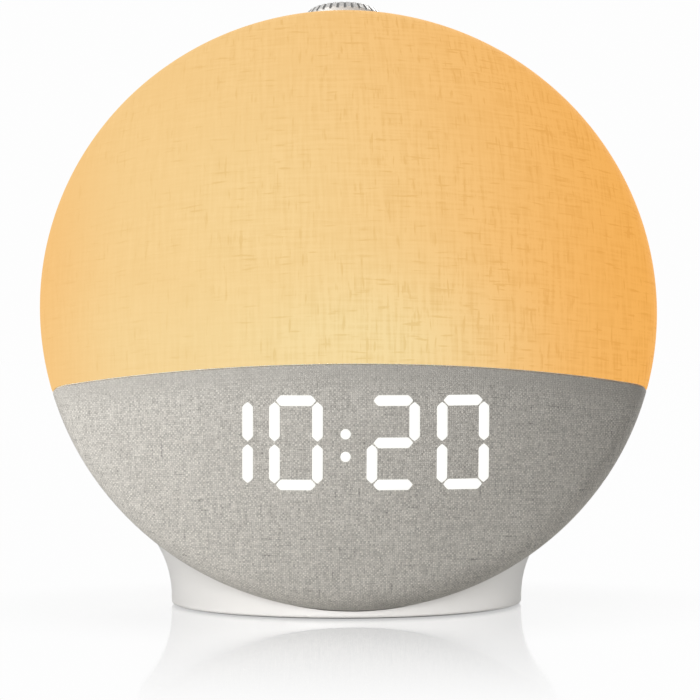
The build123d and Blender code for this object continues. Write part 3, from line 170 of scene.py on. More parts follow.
class Wire:
    """A value in a material. Python's operators on it add the Math nodes."""

    def __init__(self, finish, socket):
        self.finish, self.socket = finish, socket

    def maths(self, operation, *values, clamp=False):
        settings = {"operation": operation, "use_clamp": clamp}
        return self.finish.node("ShaderNodeMath", settings, dict(enumerate(values)))

    def __add__(self, other):
        return self.maths("ADD", self, other)

    def __sub__(self, other):
        return self.maths("SUBTRACT", self, other)

    def __rsub__(self, other):
        return self.maths("SUBTRACT", other, self)

    def __mul__(self, other):
        return self.maths("MULTIPLY", self, other)

    def __truediv__(self, other):
        return self.maths("DIVIDE", self, other)

    def __pow__(self, other):
        return self.maths("POWER", self, other)

    __radd__ = __add__
    __rmul__ = __mul__

    def floor(self):
        return self.maths("FLOOR", self)

    def odd(self):
        return self.maths("FLOORED_MODULO", self, 2.0)

    def sine(self):
        return self.maths("SINE", self)

    def cosine(self):
        return self.maths("COSINE", self)

    def size(self):
        return self.maths("ABSOLUTE", self)

    def root(self):
        return self.maths("SQRT", self)

    def clamp(self):
        return self.maths("ADD", self, 0.0, clamp=True)

    def ramp(self, low, high):
        """0 below low and 1 above high, with a smooth step between."""
        settings = {"interpolation_type": "SMOOTHSTEP"}
        ends = {"Value": self, "From Min": low, "From Max": high}
        return self.finish.node("ShaderNodeMapRange", settings, ends)


class Finish:
    """A material under way."""

    def __init__(self, name):
        self.material = bpy.data.materials.new(name)
        self.material.use_nodes = True
        self.tree = self.material.node_tree
        self.tree.nodes.clear()

    def node(self, kind, settings=None, inputs=None, out=0):
        """A node of that kind, its settings made first, and one of its outputs as a value."""
        made = self.tree.nodes.new(kind)
        for key, value in (settings or {}).items():
            setattr(made, key, value)
        for key, value in (inputs or {}).items():
            if isinstance(value, Wire):
                self.tree.links.new(value.socket, made.inputs[key])
            else:
                made.inputs[key].default_value = value
        return Wire(self, made.outputs[out])

    def place(self):
        """The piece's own coordinates, in metres."""
        return self.node("ShaderNodeTexCoord", out="Object")

    def parts(self, vector):
        """Its x, y and z."""
        first = self.node("ShaderNodeSeparateXYZ", inputs={"Vector": vector})
        return [Wire(self, output) for output in first.socket.node.outputs]

    def vector(self, x, y, z=0.0):
        return self.node("ShaderNodeCombineXYZ", inputs={"X": x, "Y": y, "Z": z})

    def noise(self, vector, scale, detail):
        inputs = {"Vector": vector, "Scale": scale, "Detail": detail}
        return self.node("ShaderNodeTexNoise", inputs=inputs)

    def cells(self, vector, scale):
        return self.node("ShaderNodeTexVoronoi", inputs={"Vector": vector, "Scale": scale})

    def mix(self, factor, first, second, blend="MIX"):
        settings = {"data_type": "RGBA", "blend_type": blend}
        return self.node("ShaderNodeMix", settings, {0: factor, 6: first, 7: second}, out=2)

    def grey(self, value):
        return self.node("ShaderNodeCombineColor", inputs={0: value, 1: value, 2: value})

    def tinted(self, colour, value):
        """The colour times a value."""
        return self.mix(1.0, opaque(colour), self.grey(value), "MULTIPLY")

    def bump(self, height, depth, strength):
        inputs = {"Height": height, "Distance": depth, "Strength": strength}
        return self.node("ShaderNodeBump", inputs=inputs)

    def plain(self, **values):
        """The closing shader. Names use _ for a blank."""
        inputs = {key.replace("_", " "): value for key, value in values.items()}
        return self.close(self.node("ShaderNodeBsdfPrincipled", inputs=inputs))

    def close(self, shader):
        """The material, with that shader as its surface."""
        output = self.tree.nodes.new("ShaderNodeOutputMaterial")
        self.tree.links.new(shader.socket, output.inputs["Surface"])
        return self.material


def opaque(colour):
    return (*colour[:3], 1.0)


# ---------------------------------------------------------------- lens and meshes

SAME_PLACE = 0.0005 * MM  # vertices nearer than this are one


class Lens:
    """The front of the lens as a surface of two numbers: arc length from its tip, and angle."""

    def __init__(self, sizes):
        self.rim = sizes.rim
        self.ring = sizes.radius - sizes.rim
        self.cap = cap_radius(self.ring, sizes.rim, sizes.depth)
        self.ball = sizes.depth - self.cap
        self.meet = np.arcsin(self.ring / (self.cap - self.rim))
        self.wide = self.cap * self.meet + self.rim * (np.pi / 2 - self.meet)
        self.end = self.wide + self.rim * np.arcsin(sizes.wrap / sizes.rim)
        self.origin = np.array([0, -sizes.forward, sizes.height])
        self.right = np.array([1.0, 0, 0])
        self.up = np.array([0, np.sin(sizes.lean), np.cos(sizes.lean)])
        self.front = np.array([0, -np.cos(sizes.lean), np.sin(sizes.lean)])

    def profile(self, along):
        """Radius and height of the front at an arc length from its tip, and how far it has turned.

        Up to where the arcs meet it is a ball of the cap's radius, so the turn is the length over
        that radius. Past it, the turn grows by the length over the rim's radius, round a ring.
        """
        past = np.maximum(along - self.cap * self.meet, 0)
        on_cap = np.minimum(along / self.cap, self.meet)
        turn = on_cap + past / self.rim
        on_rim = past > 0
        radius = np.where(on_rim, self.ring + self.rim * np.sin(turn), self.cap * np.sin(turn))
        height = np.where(on_rim, self.rim * np.cos(turn), self.ball + self.cap * np.cos(turn))
        return radius, height, turn

    def points(self, along, angle, sunk=0.0):
        """Places on the front, moved in along its normal by sunk, in the clock's frame."""
        radius, height, turn = self.profile(along)
        radius = radius - sunk * np.sin(turn)
        height = height - sunk * np.cos(turn)
        p, q = radius * np.cos(angle), radius * np.sin(angle)
        axes = (self.right, self.up, self.front)
        return self.origin + sum(v[..., None] * axis for v, axis in zip((p, q, height), axes))

    def unroll(self, points):
        """Arc length, angle and height in the lens's frame of places on the front."""
        p, q, front = ((points - self.origin) @ np.stack([self.right, self.up, self.front]).T).T
        radius = np.hypot(p, q)
        on_cap = np.arctan2(radius, front - self.ball)
        on_rim = np.arctan2(radius - self.ring, front)
        along = self.cap * self.meet + self.rim * (on_rim - self.meet)
        return np.where(on_cap < self.meet, self.cap * on_cap, along), np.arctan2(q, p), q

    def facing(self, x, z, lift):
        """y of the front's ball, raised by lift, where a line along y meets it at x and z."""
        middle = self.origin + self.ball * self.front
        across = (x - middle[0]) ** 2 + (z - middle[2]) ** 2
        return middle[1] - np.sqrt((self.cap + lift) ** 2 - across)


def turns(count):
    """Even steps round a whole turn."""
    return np.linspace(0, TURN, count, endpoint=False)


def skin(name, points):
    """A smooth mesh of a grid of points, its columns closed round, its rows running outward."""
    rows, columns = points.shape[:2]
    index = np.arange(rows * columns).reshape(rows, columns)
    index = np.hstack([index, index[:, :1]])
    corners = (index[:-1, :-1], index[1:, :-1], index[1:, 1:], index[:-1, 1:])
    faces = np.stack(corners, axis=-1).reshape(-1, 4)
    mesh = bpy.data.meshes.new(name)
    mesh.vertices.add(rows * columns)
    mesh.vertices.foreach_set("co", points.reshape(-1).astype(np.float32))
    mesh.loops.add(faces.size)
    mesh.loops.foreach_set("vertex_index", faces.reshape(-1).astype(np.int32))
    mesh.polygons.add(len(faces))
    mesh.polygons.foreach_set("loop_start", np.arange(0, faces.size, 4, dtype=np.int32))
    mesh.polygons.foreach_set("use_smooth", np.ones(len(faces), dtype=bool))
    mesh.update(calc_edges=True)
    return mesh


def merged(mesh, name, work_on=None):
    """The mesh with its coincident vertices joined, after work_on has changed it."""
    work = bmesh.new()
    work.from_mesh(mesh)
    bmesh.ops.remove_doubles(work, verts=work.verts, dist=SAME_PLACE)
    if work_on:
        work_on(work)
    done = bpy.data.meshes.new(name)
    work.to_mesh(done)
    work.free()
    bpy.data.meshes.remove(mesh)
    return done


def piece(name, mesh, material, body):
    made = bpy.data.objects.new(name, mesh)
    bpy.context.scene.collection.objects.link(made)
    mesh.materials.append(material)
    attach(made, body)
    return made


def give(material, *nodes):
    """Puts a finish on CAD nodes."""
    for name in nodes:
        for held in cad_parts[name].material_slots:
            held.material = material


# ---------------------------------------------------------------- cloth covers

DOME_RINGS, DOME_SPOKES = 112, 320
ROLL_ROWS = np.array([0, 0.1, 0.25, 0.5, 1.0, 1.7])  # rows of a rolled edge, in shares of the roll
ON_PLANE = 1e-7  # vertices nearer to a cut than this lie on it
LEAST_RIDGE = 0.4  # share of a thread's height that it keeps between the threads it crosses
MEAN_HEIGHT = 0.45  # of the weave, as a share of a thread's height
# How far the threads wander, in threads.
LIT_WANDER = 0.8
GREY_WANDER = 1.5
# Streaks and slubs: how wide and how long.
LIT_STREAK = (1.2 * MM, 16 * MM)
LIT_SLUB = (1.3 * MM, 9 * MM)
GREY_STREAK = (0.7 * MM, 12 * MM)
GREY_SLUB = (0.9 * MM, 7 * MM)
# Noise, in waves to the metre, and how far a second draw is from the first in the same noise.
WANDER, PATCHES, CLOUDS, FUZZ = 420.0, 28.0, 45.0, 3800.0
ELSEWHERE = 40.0
# Light through the open mesh and through a thick thread, as shares of the glow.
THROUGH_MESH = (1.03, 1.04, 1.06, 1)
THROUGH_THREAD = (0.93, 0.90, 0.82, 1)


def dome(lens, cloth):
    """The lens's whole front: rings from its tip to the cloth's edge behind the rim."""
    near = cloth.roll * ROLL_ROWS
    inner = np.linspace(0, lens.end - near[-1], DOME_RINGS)[:-1]
    rings = np.concatenate([inner, lens.end - near[::-1]])
    along, angle = np.meshgrid(rings, turns(DOME_SPOKES), indexing="ij")
    return skin("dome", lens.points(along, angle))


def cover(name, upper, material, node):
    """A stretched cloth: the dome cut along the seam, rolled in at its edges, then thickened.

    An edge rolls in like a quarter of an ellipse: nothing at the roll's width from the edge, and
    the whole tuck at the edge itself.
    """
    sizes, cloth = bpy.context.scene.clock_lens, bpy.context.scene.clock_cloth
    lens = Lens(sizes)
    side = 1 if upper else -1
    edge = -sizes.seam + side * sizes.seam_gap / 2

    def cut(work):
        for step in ROLL_ROWS[::-1]:
            bmesh.ops.bisect_plane(
                work, geom=[*work.verts, *work.edges, *work.faces], dist=ON_PLANE,
                plane_co=Vector(lens.origin + lens.up * (edge + side * step * cloth.roll)),
                plane_no=Vector(lens.up * side), clear_inner=step == 0,
            )

    mesh = merged(dome(lens, cloth), name, cut)
    spots = np.empty(3 * len(mesh.vertices), dtype=np.float32)
    mesh.vertices.foreach_get("co", spots)
    along, angle, height = lens.unroll(spots.reshape(-1, 3))
    distance = np.minimum(side * (height - edge), lens.end - along)
    roll = 1 - np.clip(distance / cloth.roll, 0, 1)
    points = lens.points(along, angle, cloth.tuck * (1 - np.sqrt(1 - roll**2)))
    mesh.vertices.foreach_set("co", points.reshape(-1).astype(np.float32))
    flat = np.stack([along * np.cos(angle), along * np.sin(angle), distance], axis=-1)
    store = mesh.attributes.new("cloth", "FLOAT_VECTOR", "POINT")
    store.data.foreach_set("vector", flat.reshape(-1).astype(np.float32))
    mesh.update()
    made = piece(name, mesh, material, "housing")
    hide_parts(node)
    thick = made.modifiers.new("Thickness", "SOLIDIFY")
    thick.thickness = cloth.thickness
    thick.offset = -1
    return made, lens


def segment(radius, chord):
    """Area of a disc's part past a chord at that distance from its middle."""
    return radius**2 * np.arccos(chord / radius) - chord * np.sqrt(radius**2 - chord**2)


def on_cloth(finish):
    """Places on the cloth laid flat, and the distance to its nearest edge, in metres."""
    place = finish.node("ShaderNodeAttribute", {"attribute_name": "cloth"}, out="Vector")
    return finish.parts(place)


def streaks(finish, across, up, wide, long):
    """Noise drawn out along the threads that run up the cloth, and along those that cross it."""
    upright = finish.noise(finish.vector(across / wide, up / long), 1.0, 1.0)
    level = finish.noise(finish.vector(across / long + ELSEWHERE, up / wide), 1.0, 1.0)
    return upright, level


def slubs(finish, across, up, size, low):
    """Where threads are thick: streaks from another part of the same noise, above a level."""
    upright, level = streaks(finish, across + 0.3, up + 0.2, *size)
    return upright.ramp(low, 0.80) + level.ramp(low, 0.80)


def weave(finish, across, up, pitch, wander):
    """A plain weave's height, which thread is on top, and an even chance for each crossing.

    A thread's number is its place over the pitch, rounded down, and noise makes the threads
    wander. A thread is a rounded ridge, the size of the sine of its place, and goes over and under
    by turns, where the two numbers add up to an odd or an even one.
    """
    loose = wander * (finish.noise(finish.vector(across, up), WANDER, 1.0) - 0.5)
    warp, weft = across / pitch + loose, up / pitch + loose
    warp_ridge = (warp * np.pi).sine().size()
    weft_ridge = (weft * np.pi).sine().size()
    over = (warp.floor() + weft.floor()).odd()
    warp_top = warp_ridge * (LEAST_RIDGE + (1 - LEAST_RIDGE) * weft_ridge)
    weft_top = weft_ridge * (LEAST_RIDGE + (1 - LEAST_RIDGE) * warp_ridge)
    height = over * warp_top + (1 - over) * weft_top
    cell = finish.vector(warp.floor(), weft.floor())
    chance = finish.node("ShaderNodeTexWhiteNoise", {"noise_dimensions": "2D"}, {"Vector": cell})
    return height, over, chance


def lit_cloth_finish():
    """Open linen with the light behind it: thick threads dim and deepen the glow.

    The glow is brightest by the seam, a little right of the middle, and deepens to the right above
    all, and less to the left, the top and the rim. Its deepening to the right is partly painted
    shade: the key lamp on the left's fall, painted into the glow.
    """
    scene = bpy.context.scene
    colours, sizes, cloth = scene.clock_colours, scene.clock_lens, scene.clock_cloth
    finish = Finish("lit_cloth")
    across, up, _ = on_cloth(finish)
    x, _, z = finish.parts(finish.place())
    aside, above = x / sizes.radius, (z - sizes.height) / sizes.radius
    height, _, _ = weave(finish, across, up, cloth.lit_thread, LIT_WANDER)
    fine_up, fine_level = streaks(finish, across, up, *LIT_STREAK)
    slub = slubs(finish, across, up, LIT_SLUB, 0.60)
    patchy = finish.noise(finish.vector(across, up), PATCHES, 2.0).ramp(0.30, 0.62)
    shows = (0.24 + 0.82 * aside.ramp(-0.85, 0.55)) * (0.5 + 0.8 * patchy)
    low = 1 - above.ramp(-0.2, 0.2)
    thick = (1.8 + 0.3 * low) * (fine_up - 0.5) + 1.4 * (fine_level - 0.5)
    thick = thick + 0.05 * (height - MEAN_HEIGHT)
    thick = (0.28 + shows * (thick + 1.6 * slub - 0.11)).clamp()
    passed = finish.mix(thick, THROUGH_MESH, THROUGH_THREAD)
    # painted shade: the glow dims to the right as if shaded away from the key lamp on the left
    right_glow_and_shade = 1 - 0.80 * aside.ramp(-0.5, 1.21)
    left_share = 0.52 + 0.48 * aside.ramp(-1.17, -0.70)
    top_share = 1 - 0.10 * above.ramp(-0.13, 0.12) - 0.06 * above.ramp(0.35, 1.0)
    rim_share = 1 - 0.29 * (aside * aside + above * above).root().ramp(0.0, 1.4)
    beside, over_seam = aside - 0.15, 1.08 * (above + 0.2)
    hot = 0.26 * (1 - (beside * beside + over_seam * over_seam).root().ramp(0.0, 0.58))
    bright = right_glow_and_shade * left_share * top_share * rim_share + hot
    glow = finish.mix(bright, tuple(colours.glow_deep_and_shade), tuple(colours.glow_bright))
    lit = finish.mix(1.0, glow, passed, "MULTIPLY")
    face = finish.mix(1.0, tuple(colours.lit_cloth), passed, "MULTIPLY")
    return finish.plain(
        Base_Color=face, Roughness=0.9, Specular_IOR_Level=0.15,
        Emission_Color=lit, Emission_Strength=1.0, Normal=finish.bump(height, 0.08 * MM, 0.3),
    )


def grey_cloth_finish():
    """Dense grey weave: uneven crossings, darker and lighter threads and a few slubs.

    It's calmer at its edges, where it is pulled tight round them.
    """
    scene = bpy.context.scene
    finish = Finish("grey_cloth")
    across, up, edge = on_cloth(finish)
    pitch = scene.clock_cloth.grey_thread
    height, over, chance = weave(finish, across, up, pitch, GREY_WANDER)
    fine_up, fine_level = streaks(finish, across, up, *GREY_STREAK)
    slub = slubs(finish, across, up, GREY_SLUB, 0.62)
    cloudy = finish.noise(finish.vector(across, up), CLOUDS, 3.0)
    fuzz = finish.noise(finish.vector(across, up), FUZZ, 1.0)
    threads = 0.28 * (height - MEAN_HEIGHT) + 0.16 * (over - 0.5) + 0.28 * (chance - 0.5)
    threads = threads + 0.60 * (fuzz - 0.5) + 0.28 * (fine_up - 0.5) + 0.25 * (fine_level - 0.5)
    calm = 0.4 + 0.6 * edge.ramp(1 * MM, 10 * MM)
    shade = 0.89 + calm * (1.12 * threads + 0.11 - 0.30 * slub) + 0.14 * (cloudy - 0.5)
    face = finish.tinted(scene.clock_colours.grey_cloth, shade)
    return finish.plain(
        Base_Color=face, Roughness=0.92, Specular_IOR_Level=0.2, Sheen_Weight=0.05,
        Normal=finish.bump(height, 0.12 * MM, 0.5),
    )


class CLOCK_OT_lit_cover(bpy.types.Operator):
    """Makes the upper cloth, with the light behind it"""

    bl_idname = "clock.lit_cover"
    bl_label = "Lit Cover"

    def execute(self, context):
        made, lens = cover(
            "lit_cover", True, lit_cloth_finish(), "upper_fabric_cover"
        )
        seam, reach = context.scene.clock_lens.seam, lens.end
        2 * reach
        reach + seam
        segment(reach, -seam)
        return {"FINISHED"}


class CLOCK_OT_grey_cover(bpy.types.Operator):
    """Makes the lower cloth"""

    bl_idname = "clock.grey_cover"
    bl_label = "Grey Cover"

    def execute(self, context):
        made, lens = cover(
            "grey_cover", False, grey_cloth_finish(), "lower_fabric_cover"
        )
        seam, reach = context.scene.clock_lens.seam, lens.end
        2 * np.sqrt(reach**2 - seam**2)
        reach - seam
        segment(reach, seam)
        return {"FINISHED"}


# ---------------------------------------------------------------- lit digits

# Which bars a digit lights: a top, then clockwise b c d e f, and g in the middle.
LIT_BARS = {
    "0": "abcdef", "1": "bc", "2": "abdeg", "3": "abcdg", "4": "bcfg",
    "5": "acdfg", "6": "acdefg", "7": "abc", "8": "abcdefg", "9": "abcdfg",
}
DIGIT_CENTRES = (-41.3 * MM, -19.2 * MM, 11.7 * MM, 34.2 * MM)
DIGIT_NAMES = ("ten_hours", "hours", "ten_minutes", "minutes")
COLON_X = -3.5 * MM
COLON_DROP = 0.8 * MM  # how far the colon's middle is below the digits'
COLON_HALF_PITCH = 3.6 * MM
DIGIT_WHITE = (1.0, 1.0, 0.96)
TIP_STEPS = 9
TIP_POINT = 0.001  # what is left of a patch's width at its end, or of a dot at its middle
TIP_JOIN = 0.004 * MM  # vertices of a tip nearer than this are one
# Round a bar's section: shares of its half width, and of the lift.
BAR_SECTION = np.array(
    [(-1, 1), (-0.4, 1), (0.4, 1), (1, 1), (1, -2), (0.4, -2), (-0.4, -2), (-1, -2)]
)
# From a dot's middle outward and back under the cloth: shares of its radius, and of the lift.
DOT_SECTION = np.array(
    [(TIP_POINT, 1), (0.5, 1), (0.96, 1), (1, 0.6), (1, -2), (0.5, -2), (TIP_POINT, -2)]
)
DOT_SPOKES = 32


def bar_places(sizes, x):
    """Middle, direction and half length of each bar of a digit, by its letter."""
    side = (sizes.width - sizes.stroke) / 2
    tall = (sizes.height - sizes.stroke) / 2
    flat_half = side - sizes.gap
    tall_half = tall / 2 - sizes.gap
    flat = {letter: (x, k * tall, (1, 0), flat_half) for letter, k in zip("agd", (1, 0, -1))}
    sides = {"b": (1, 1), "c": (1, -1), "e": (-1, -1), "f": (-1, 1)}
    tall_bars = {
        letter: (x + i * side, j * tall / 2, (0, 1), tall_half) for letter, (i, j) in sides.items()
    }
    return flat | tall_bars


def lit_patch(lens, sizes, x, z, direction, half_long, half_wide, tip):
    """A lit patch on the cloth: a thin closed tube whose flat section narrows to its two ends.

    At a share of the half length the half width is whole until the tip begins, and then
    falls as one minus that share to the 1.5. Each ring is a flat loop: out along the cloth, in
    under it and back.
    """
    straight = 1 - tip / half_long
    bent = np.linspace(0, 1, TIP_STEPS)
    share = np.concatenate([-1 + (1 - straight) * bent, straight + (1 - straight) * bent])
    into_tip = np.clip((np.abs(share) - straight) / (1 - straight), 0, 1)
    wide = half_wide * np.clip(1 - into_tip**1.5, TIP_POINT, 1)
    forward = np.array(direction)
    aside = np.array([forward[1], -forward[0]])
    flat = (
        share[:, None, None] * half_long * forward
        + wide[:, None, None] * BAR_SECTION[None, :, :1] * aside
        + np.array([x, z])
    )
    lift = sizes.lift * np.broadcast_to(BAR_SECTION[None, :, 1], flat.shape[:2])
    y = lens.facing(flat[..., 0], flat[..., 1], lift)
    return np.stack([flat[..., 0], y, flat[..., 1]], axis=-1)


def patches(name, parts, material):
    """One piece of several lit patches, with closed tips and outward faces."""
    work = bmesh.new()
    for part in parts:
        mesh = skin("patch", part)
        work.from_mesh(mesh)
        bpy.data.meshes.remove(mesh)
    bmesh.ops.remove_doubles(work, verts=work.verts, dist=TIP_JOIN)
    bmesh.ops.holes_fill(work, edges=work.edges)
    bmesh.ops.recalc_face_normals(work, faces=work.faces)
    mesh = bpy.data.meshes.new(name)
    work.to_mesh(mesh)
    work.free()
    return piece(name, mesh, material, "housing")


def digit_finish():
    """White light through the grey cloth, a little uneven where the threads cross it."""
    finish = Finish("digit_light")
    x, _, z = finish.parts(finish.place())
    threads = finish.noise(finish.vector(x, z), 1500.0, 1.0)
    glow = finish.tinted(DIGIT_WHITE, 0.98 + 0.06 * (threads - 0.5))
    return finish.plain(
        Base_Color=(0.1, 0.1, 0.1, 1), Roughness=0.9, Specular_IOR_Level=0.1,
        Emission_Color=glow, Emission_Strength=1.0,
    )


class CLOCK_OT_digits(bpy.types.Operator):
    """Makes the lit digits and the colon"""

    bl_idname = "clock.digits"
    bl_label = "Lit Digits"

    def execute(self, context):
        sizes = context.scene.clock_digits
        lens = Lens(context.scene.clock_lens)
        material = digit_finish()
        half = sizes.stroke / 2
        for name, digit, x in zip(DIGIT_NAMES, sizes.time, DIGIT_CENTRES):
            places = bar_places(sizes, x)
            lit = [places[letter] for letter in LIT_BARS[digit]]
            parts = [
                lit_patch(lens, sizes, at, sizes.middle + up, way, long, half, half)
                for at, up, way, long in lit
            ]
            patches(f"digit_{name}", parts, material)
        middle = sizes.middle - COLON_DROP
        dots = [
            round_patch(lens, sizes, COLON_X, middle + k * COLON_HALF_PITCH) for k in (-1, 1)
        ]
        patches("digit_colon", dots, material)
        return {"FINISHED"}


def round_patch(lens, sizes, x, z):
    """A lit dot: rings from its middle over its edge and back to the middle under the cloth."""
    share, lift = DOT_SECTION.T[:, :, None]
    angle = turns(DOT_SPOKES)
    px = x + sizes.dot * share * np.cos(angle)
    pz = z + sizes.dot * share * np.sin(angle)
    y = lens.facing(px, pz, sizes.lift * lift)
    return np.stack([px, y, pz], axis=-1)


# ---------------------------------------------------------------- finishes of the CAD pieces

BLACK = (0.02, 0.02, 0.02)
ZINC = (0.55, 0.56, 0.57)
BRIGHT_ZINC = (0.55, 0.56, 0.58)
ALUMINIUM = (0.72, 0.73, 0.74)
TIN = (0.58, 0.57, 0.55)
CABLE = (0.68, 0.68, 0.66)
GREEN_MASK = ((0.012, 0.07, 0.03), (0.10, 0.20, 0.06))  # a board's, and over its tracks


def moulded(name, colour, roughness=0.5, grain=0.02, coat=0.0):
    """Moulded plastic: a fine spark texture, cloudy gloss and a faint unevenness of colour."""
    finish = Finish(name)
    place = finish.place()
    spark = finish.noise(place, 2600.0, 2.0)
    cloud = finish.noise(place, 35.0, 3.0)
    return finish.plain(
        Base_Color=finish.tinted(colour, 0.985 + 0.03 * cloud),
        Roughness=roughness - 0.05 + 0.10 * cloud, Coat_Weight=coat, Coat_Roughness=0.2,
        Normal=finish.bump(spark, grain * MM, 0.4),
    )


def metal(name, colour, roughness=0.3, stretch=(1.0, 1.0, 1.0)):
    """Bare or plated metal: fine marks, stretched where they run one way, and cloudy gloss."""
    finish = Finish(name)
    x, y, z = finish.parts(finish.place())
    marks = finish.noise(finish.vector(x * stretch[0], y * stretch[1], z * stretch[2]), 900.0, 3.0)
    cloud = finish.noise(finish.place(), 60.0, 2.0)
    tone = finish.tinted(colour, 0.93 + 0.10 * cloud)
    return finish.plain(
        Base_Color=tone, Metallic=1.0, Roughness=roughness - 0.06 + 0.12 * marks,
        Normal=finish.bump(marks, 0.01 * MM, 0.3),
    )


def soft(name, colour, pore=900.0, depth=0.05):
    """Rubber, foam or pressed paper: a dull, slightly pitted skin."""
    finish = Finish(name)
    pits = finish.cells(finish.place(), pore)
    cloud = finish.noise(finish.place(), 50.0, 3.0)
    tone = finish.tinted(colour, 0.9 + 0.2 * cloud)
    return finish.plain(
        Base_Color=tone, Roughness=0.75 + 0.15 * cloud, Specular_IOR_Level=0.3,
        Normal=finish.bump(pits, depth * MM, 0.5),
    )


def board(name, colour, copper):
    """A circuit board: solder mask with raised tracks, square patches of them either way."""
    finish = Finish(name)
    x, _, z = finish.parts(finish.place())
    tracks = (x * 1600.0).sine().ramp(0.55, 0.75)
    patchy = finish.noise(finish.place(), 110.0, 1.0).ramp(0.48, 0.52)
    cross = (z * 1500.0).sine().ramp(0.55, 0.75)
    drawn = tracks * patchy + cross * (1 - patchy)
    tone = finish.mix(drawn * 0.6, opaque(colour), opaque(copper))
    return finish.plain(
        Base_Color=tone, Roughness=0.35 - 0.05 * drawn, Coat_Weight=0.3, Coat_Roughness=0.15,
        Normal=finish.bump(drawn, 0.03 * MM, 0.5),
    )


def frosted(name, colour):
    """Translucent plastic seen with its light behind it."""
    finish = Finish(name)
    cloud = finish.noise(finish.place(), 25.0, 3.0)
    spark = finish.noise(finish.place(), 2200.0, 1.0)
    tone = finish.tinted(colour, 0.96 + 0.06 * cloud)
    return finish.plain(
        Base_Color=tone, Roughness=0.55 + 0.1 * cloud, Subsurface_Weight=0.15,
        Subsurface_Scale=0.003, Normal=finish.bump(spark, 0.01 * MM, 0.4),
    )


def phosphor(name, colour):
    """A lit LED: its phosphor glowing unevenly through the cloudy resin."""
    finish = Finish(name)
    cloud = finish.noise(finish.place(), 700.0, 2.0)
    tone = finish.tinted(colour, 0.85 + 0.3 * cloud)
    return finish.plain(
        Base_Color=tone, Roughness=0.3, Coat_Weight=0.5, Emission_Color=tone,
        Emission_Strength=0.5, Normal=finish.bump(cloud, 0.02 * MM, 0.4),
    )


DIAL_RIBS = 36
DIAL_EDGE = (11.5 * MM, 12.5 * MM)  # where the ribs begin, from the axis
DIAL_BEVEL = (-2.6 * MM, -2.0 * MM)  # top of the skirt, from the middle of the face


def dial_place(finish):
    """Distance from the dial's axis, place along it and angle round it."""
    low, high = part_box("dial_cap")
    middle = (low + high) / 2
    lens = Lens(bpy.context.scene.clock_lens)
    x, y, z = finish.parts(finish.place())
    out = (y - middle.y) * float(lens.front[1]) + (z - middle.z) * float(lens.front[2])
    along = (y - middle.y) * float(lens.up[1]) + (z - middle.z) * float(lens.up[2])
    return (x * x + out * out).root(), along, out.maths("ARCTAN2", out, x)


def turned_silver(name, colour, fine, roughness, groove_shade=0.0):
    """Satin silver with the rings that turning leaves, read from the distance to the axis.

    Round the ribbed edge each groove between the ribs is painted darker, a painted shade in it:
    there are as many as the ribs, where the cosine of the angle times their number is near 1,
    above the smooth skirt.
    """
    finish = Finish(name)
    distance, along, angle = dial_place(finish)
    rings = finish.noise(finish.vector(distance * fine, along * fine, 0.0), 1.0, 3.0)
    cloud = finish.noise(finish.place(), 90.0, 2.0)
    shade = 0.94 + 0.10 * rings
    if groove_shade:
        on_edge = distance.ramp(*DIAL_EDGE) * along.ramp(*DIAL_BEVEL)
        groove = (angle * float(DIAL_RIBS)).cosine().ramp(0.0, 0.7)
        # painted shade: each groove round the ribbed edge is darkened in the colour where shade
        # would fall
        shade = shade * (1 - groove_shade * groove * on_edge)
    tone = finish.tinted(colour, shade)
    return finish.plain(
        Base_Color=tone, Metallic=0.25, Roughness=roughness + 0.10 * (rings - 0.5) + 0.05 * cloud,
        Normal=finish.bump(rings, 0.012 * MM, 0.4),
    )


class CLOCK_OT_foot(bpy.types.Operator):
    """Finishes the foot, its plate, pad and weight"""

    bl_idname = "clock.foot"
    bl_label = "Foot"

    def execute(self, context):
        white = context.scene.clock_colours.foot
        give(moulded("foot_white", white, 0.38, 0.01, 0.15), "foot_shell")
        give(moulded("plate_white", (0.70, 0.69, 0.67), 0.55), "bottom_plate")
        give(soft("pad_rubber", (0.20, 0.20, 0.195), 1200.0), "foot_pad")
        give(soft("cast_weight", (0.05, 0.05, 0.05), 500.0, 0.15), "ballast_plate")
        give(metal("foot_screw_zinc", ZINC, 0.32), "foot_screws")
        return {"FINISHED"}


class CLOCK_OT_controls(bpy.types.Operator):
    """Finishes the controls and the socket on the back of the foot"""

    bl_idname = "clock.controls"
    bl_label = "Rear Controls"

    def execute(self, context):
        give(board("socket_board", *GREEN_MASK), "io_board")
        give(metal("socket_nickel", (0.62, 0.60, 0.56), 0.28), "power_socket")
        give(metal("switch_case", TIN, 0.34), "slide_switch_body")
        give(metal("button_case", TIN, 0.30), "button_switch_body")
        give(moulded("slider_black", BLACK, 0.45), "switch_slider")
        give(moulded("plunger_black", (0.025, 0.025, 0.025), 0.5), "button_plunger")
        give(moulded("button_grey", (0.26, 0.26, 0.25), 0.5), "reset_button")
        return {"FINISHED"}


class CLOCK_OT_dial(bpy.types.Operator):
    """Finishes the dial and what it turns"""

    bl_idname = "clock.dial"
    bl_label = "Dial"

    def execute(self, context):
        # 0.6 is the share of painted shade in each groove round the ribbed edge
        give(turned_silver("dial_satin", (0.74, 0.73, 0.71), 1500.0, 0.40, 0.6), "dial_knob")
        give(turned_silver("dial_face", (0.76, 0.75, 0.73), 5000.0, 0.34), "dial_cap")
        give(metal("shaft_aluminium", ALUMINIUM, 0.3, (1, 1, 6)), "dial_shaft")
        give(moulded("rotor_black", (0.02, 0.02, 0.022), 0.5), "encoder_rotor")
        give(metal("encoder_case", (0.60, 0.59, 0.56), 0.3), "encoder_housing")
        give(metal("nut_nickel", (0.64, 0.62, 0.58), 0.25), "encoder_nut")
        give(board("encoder_mask", *GREEN_MASK), "encoder_board")
        give(moulded("encoder_cable", CABLE, 0.4), "encoder_ribbon")
        return {"FINISHED"}


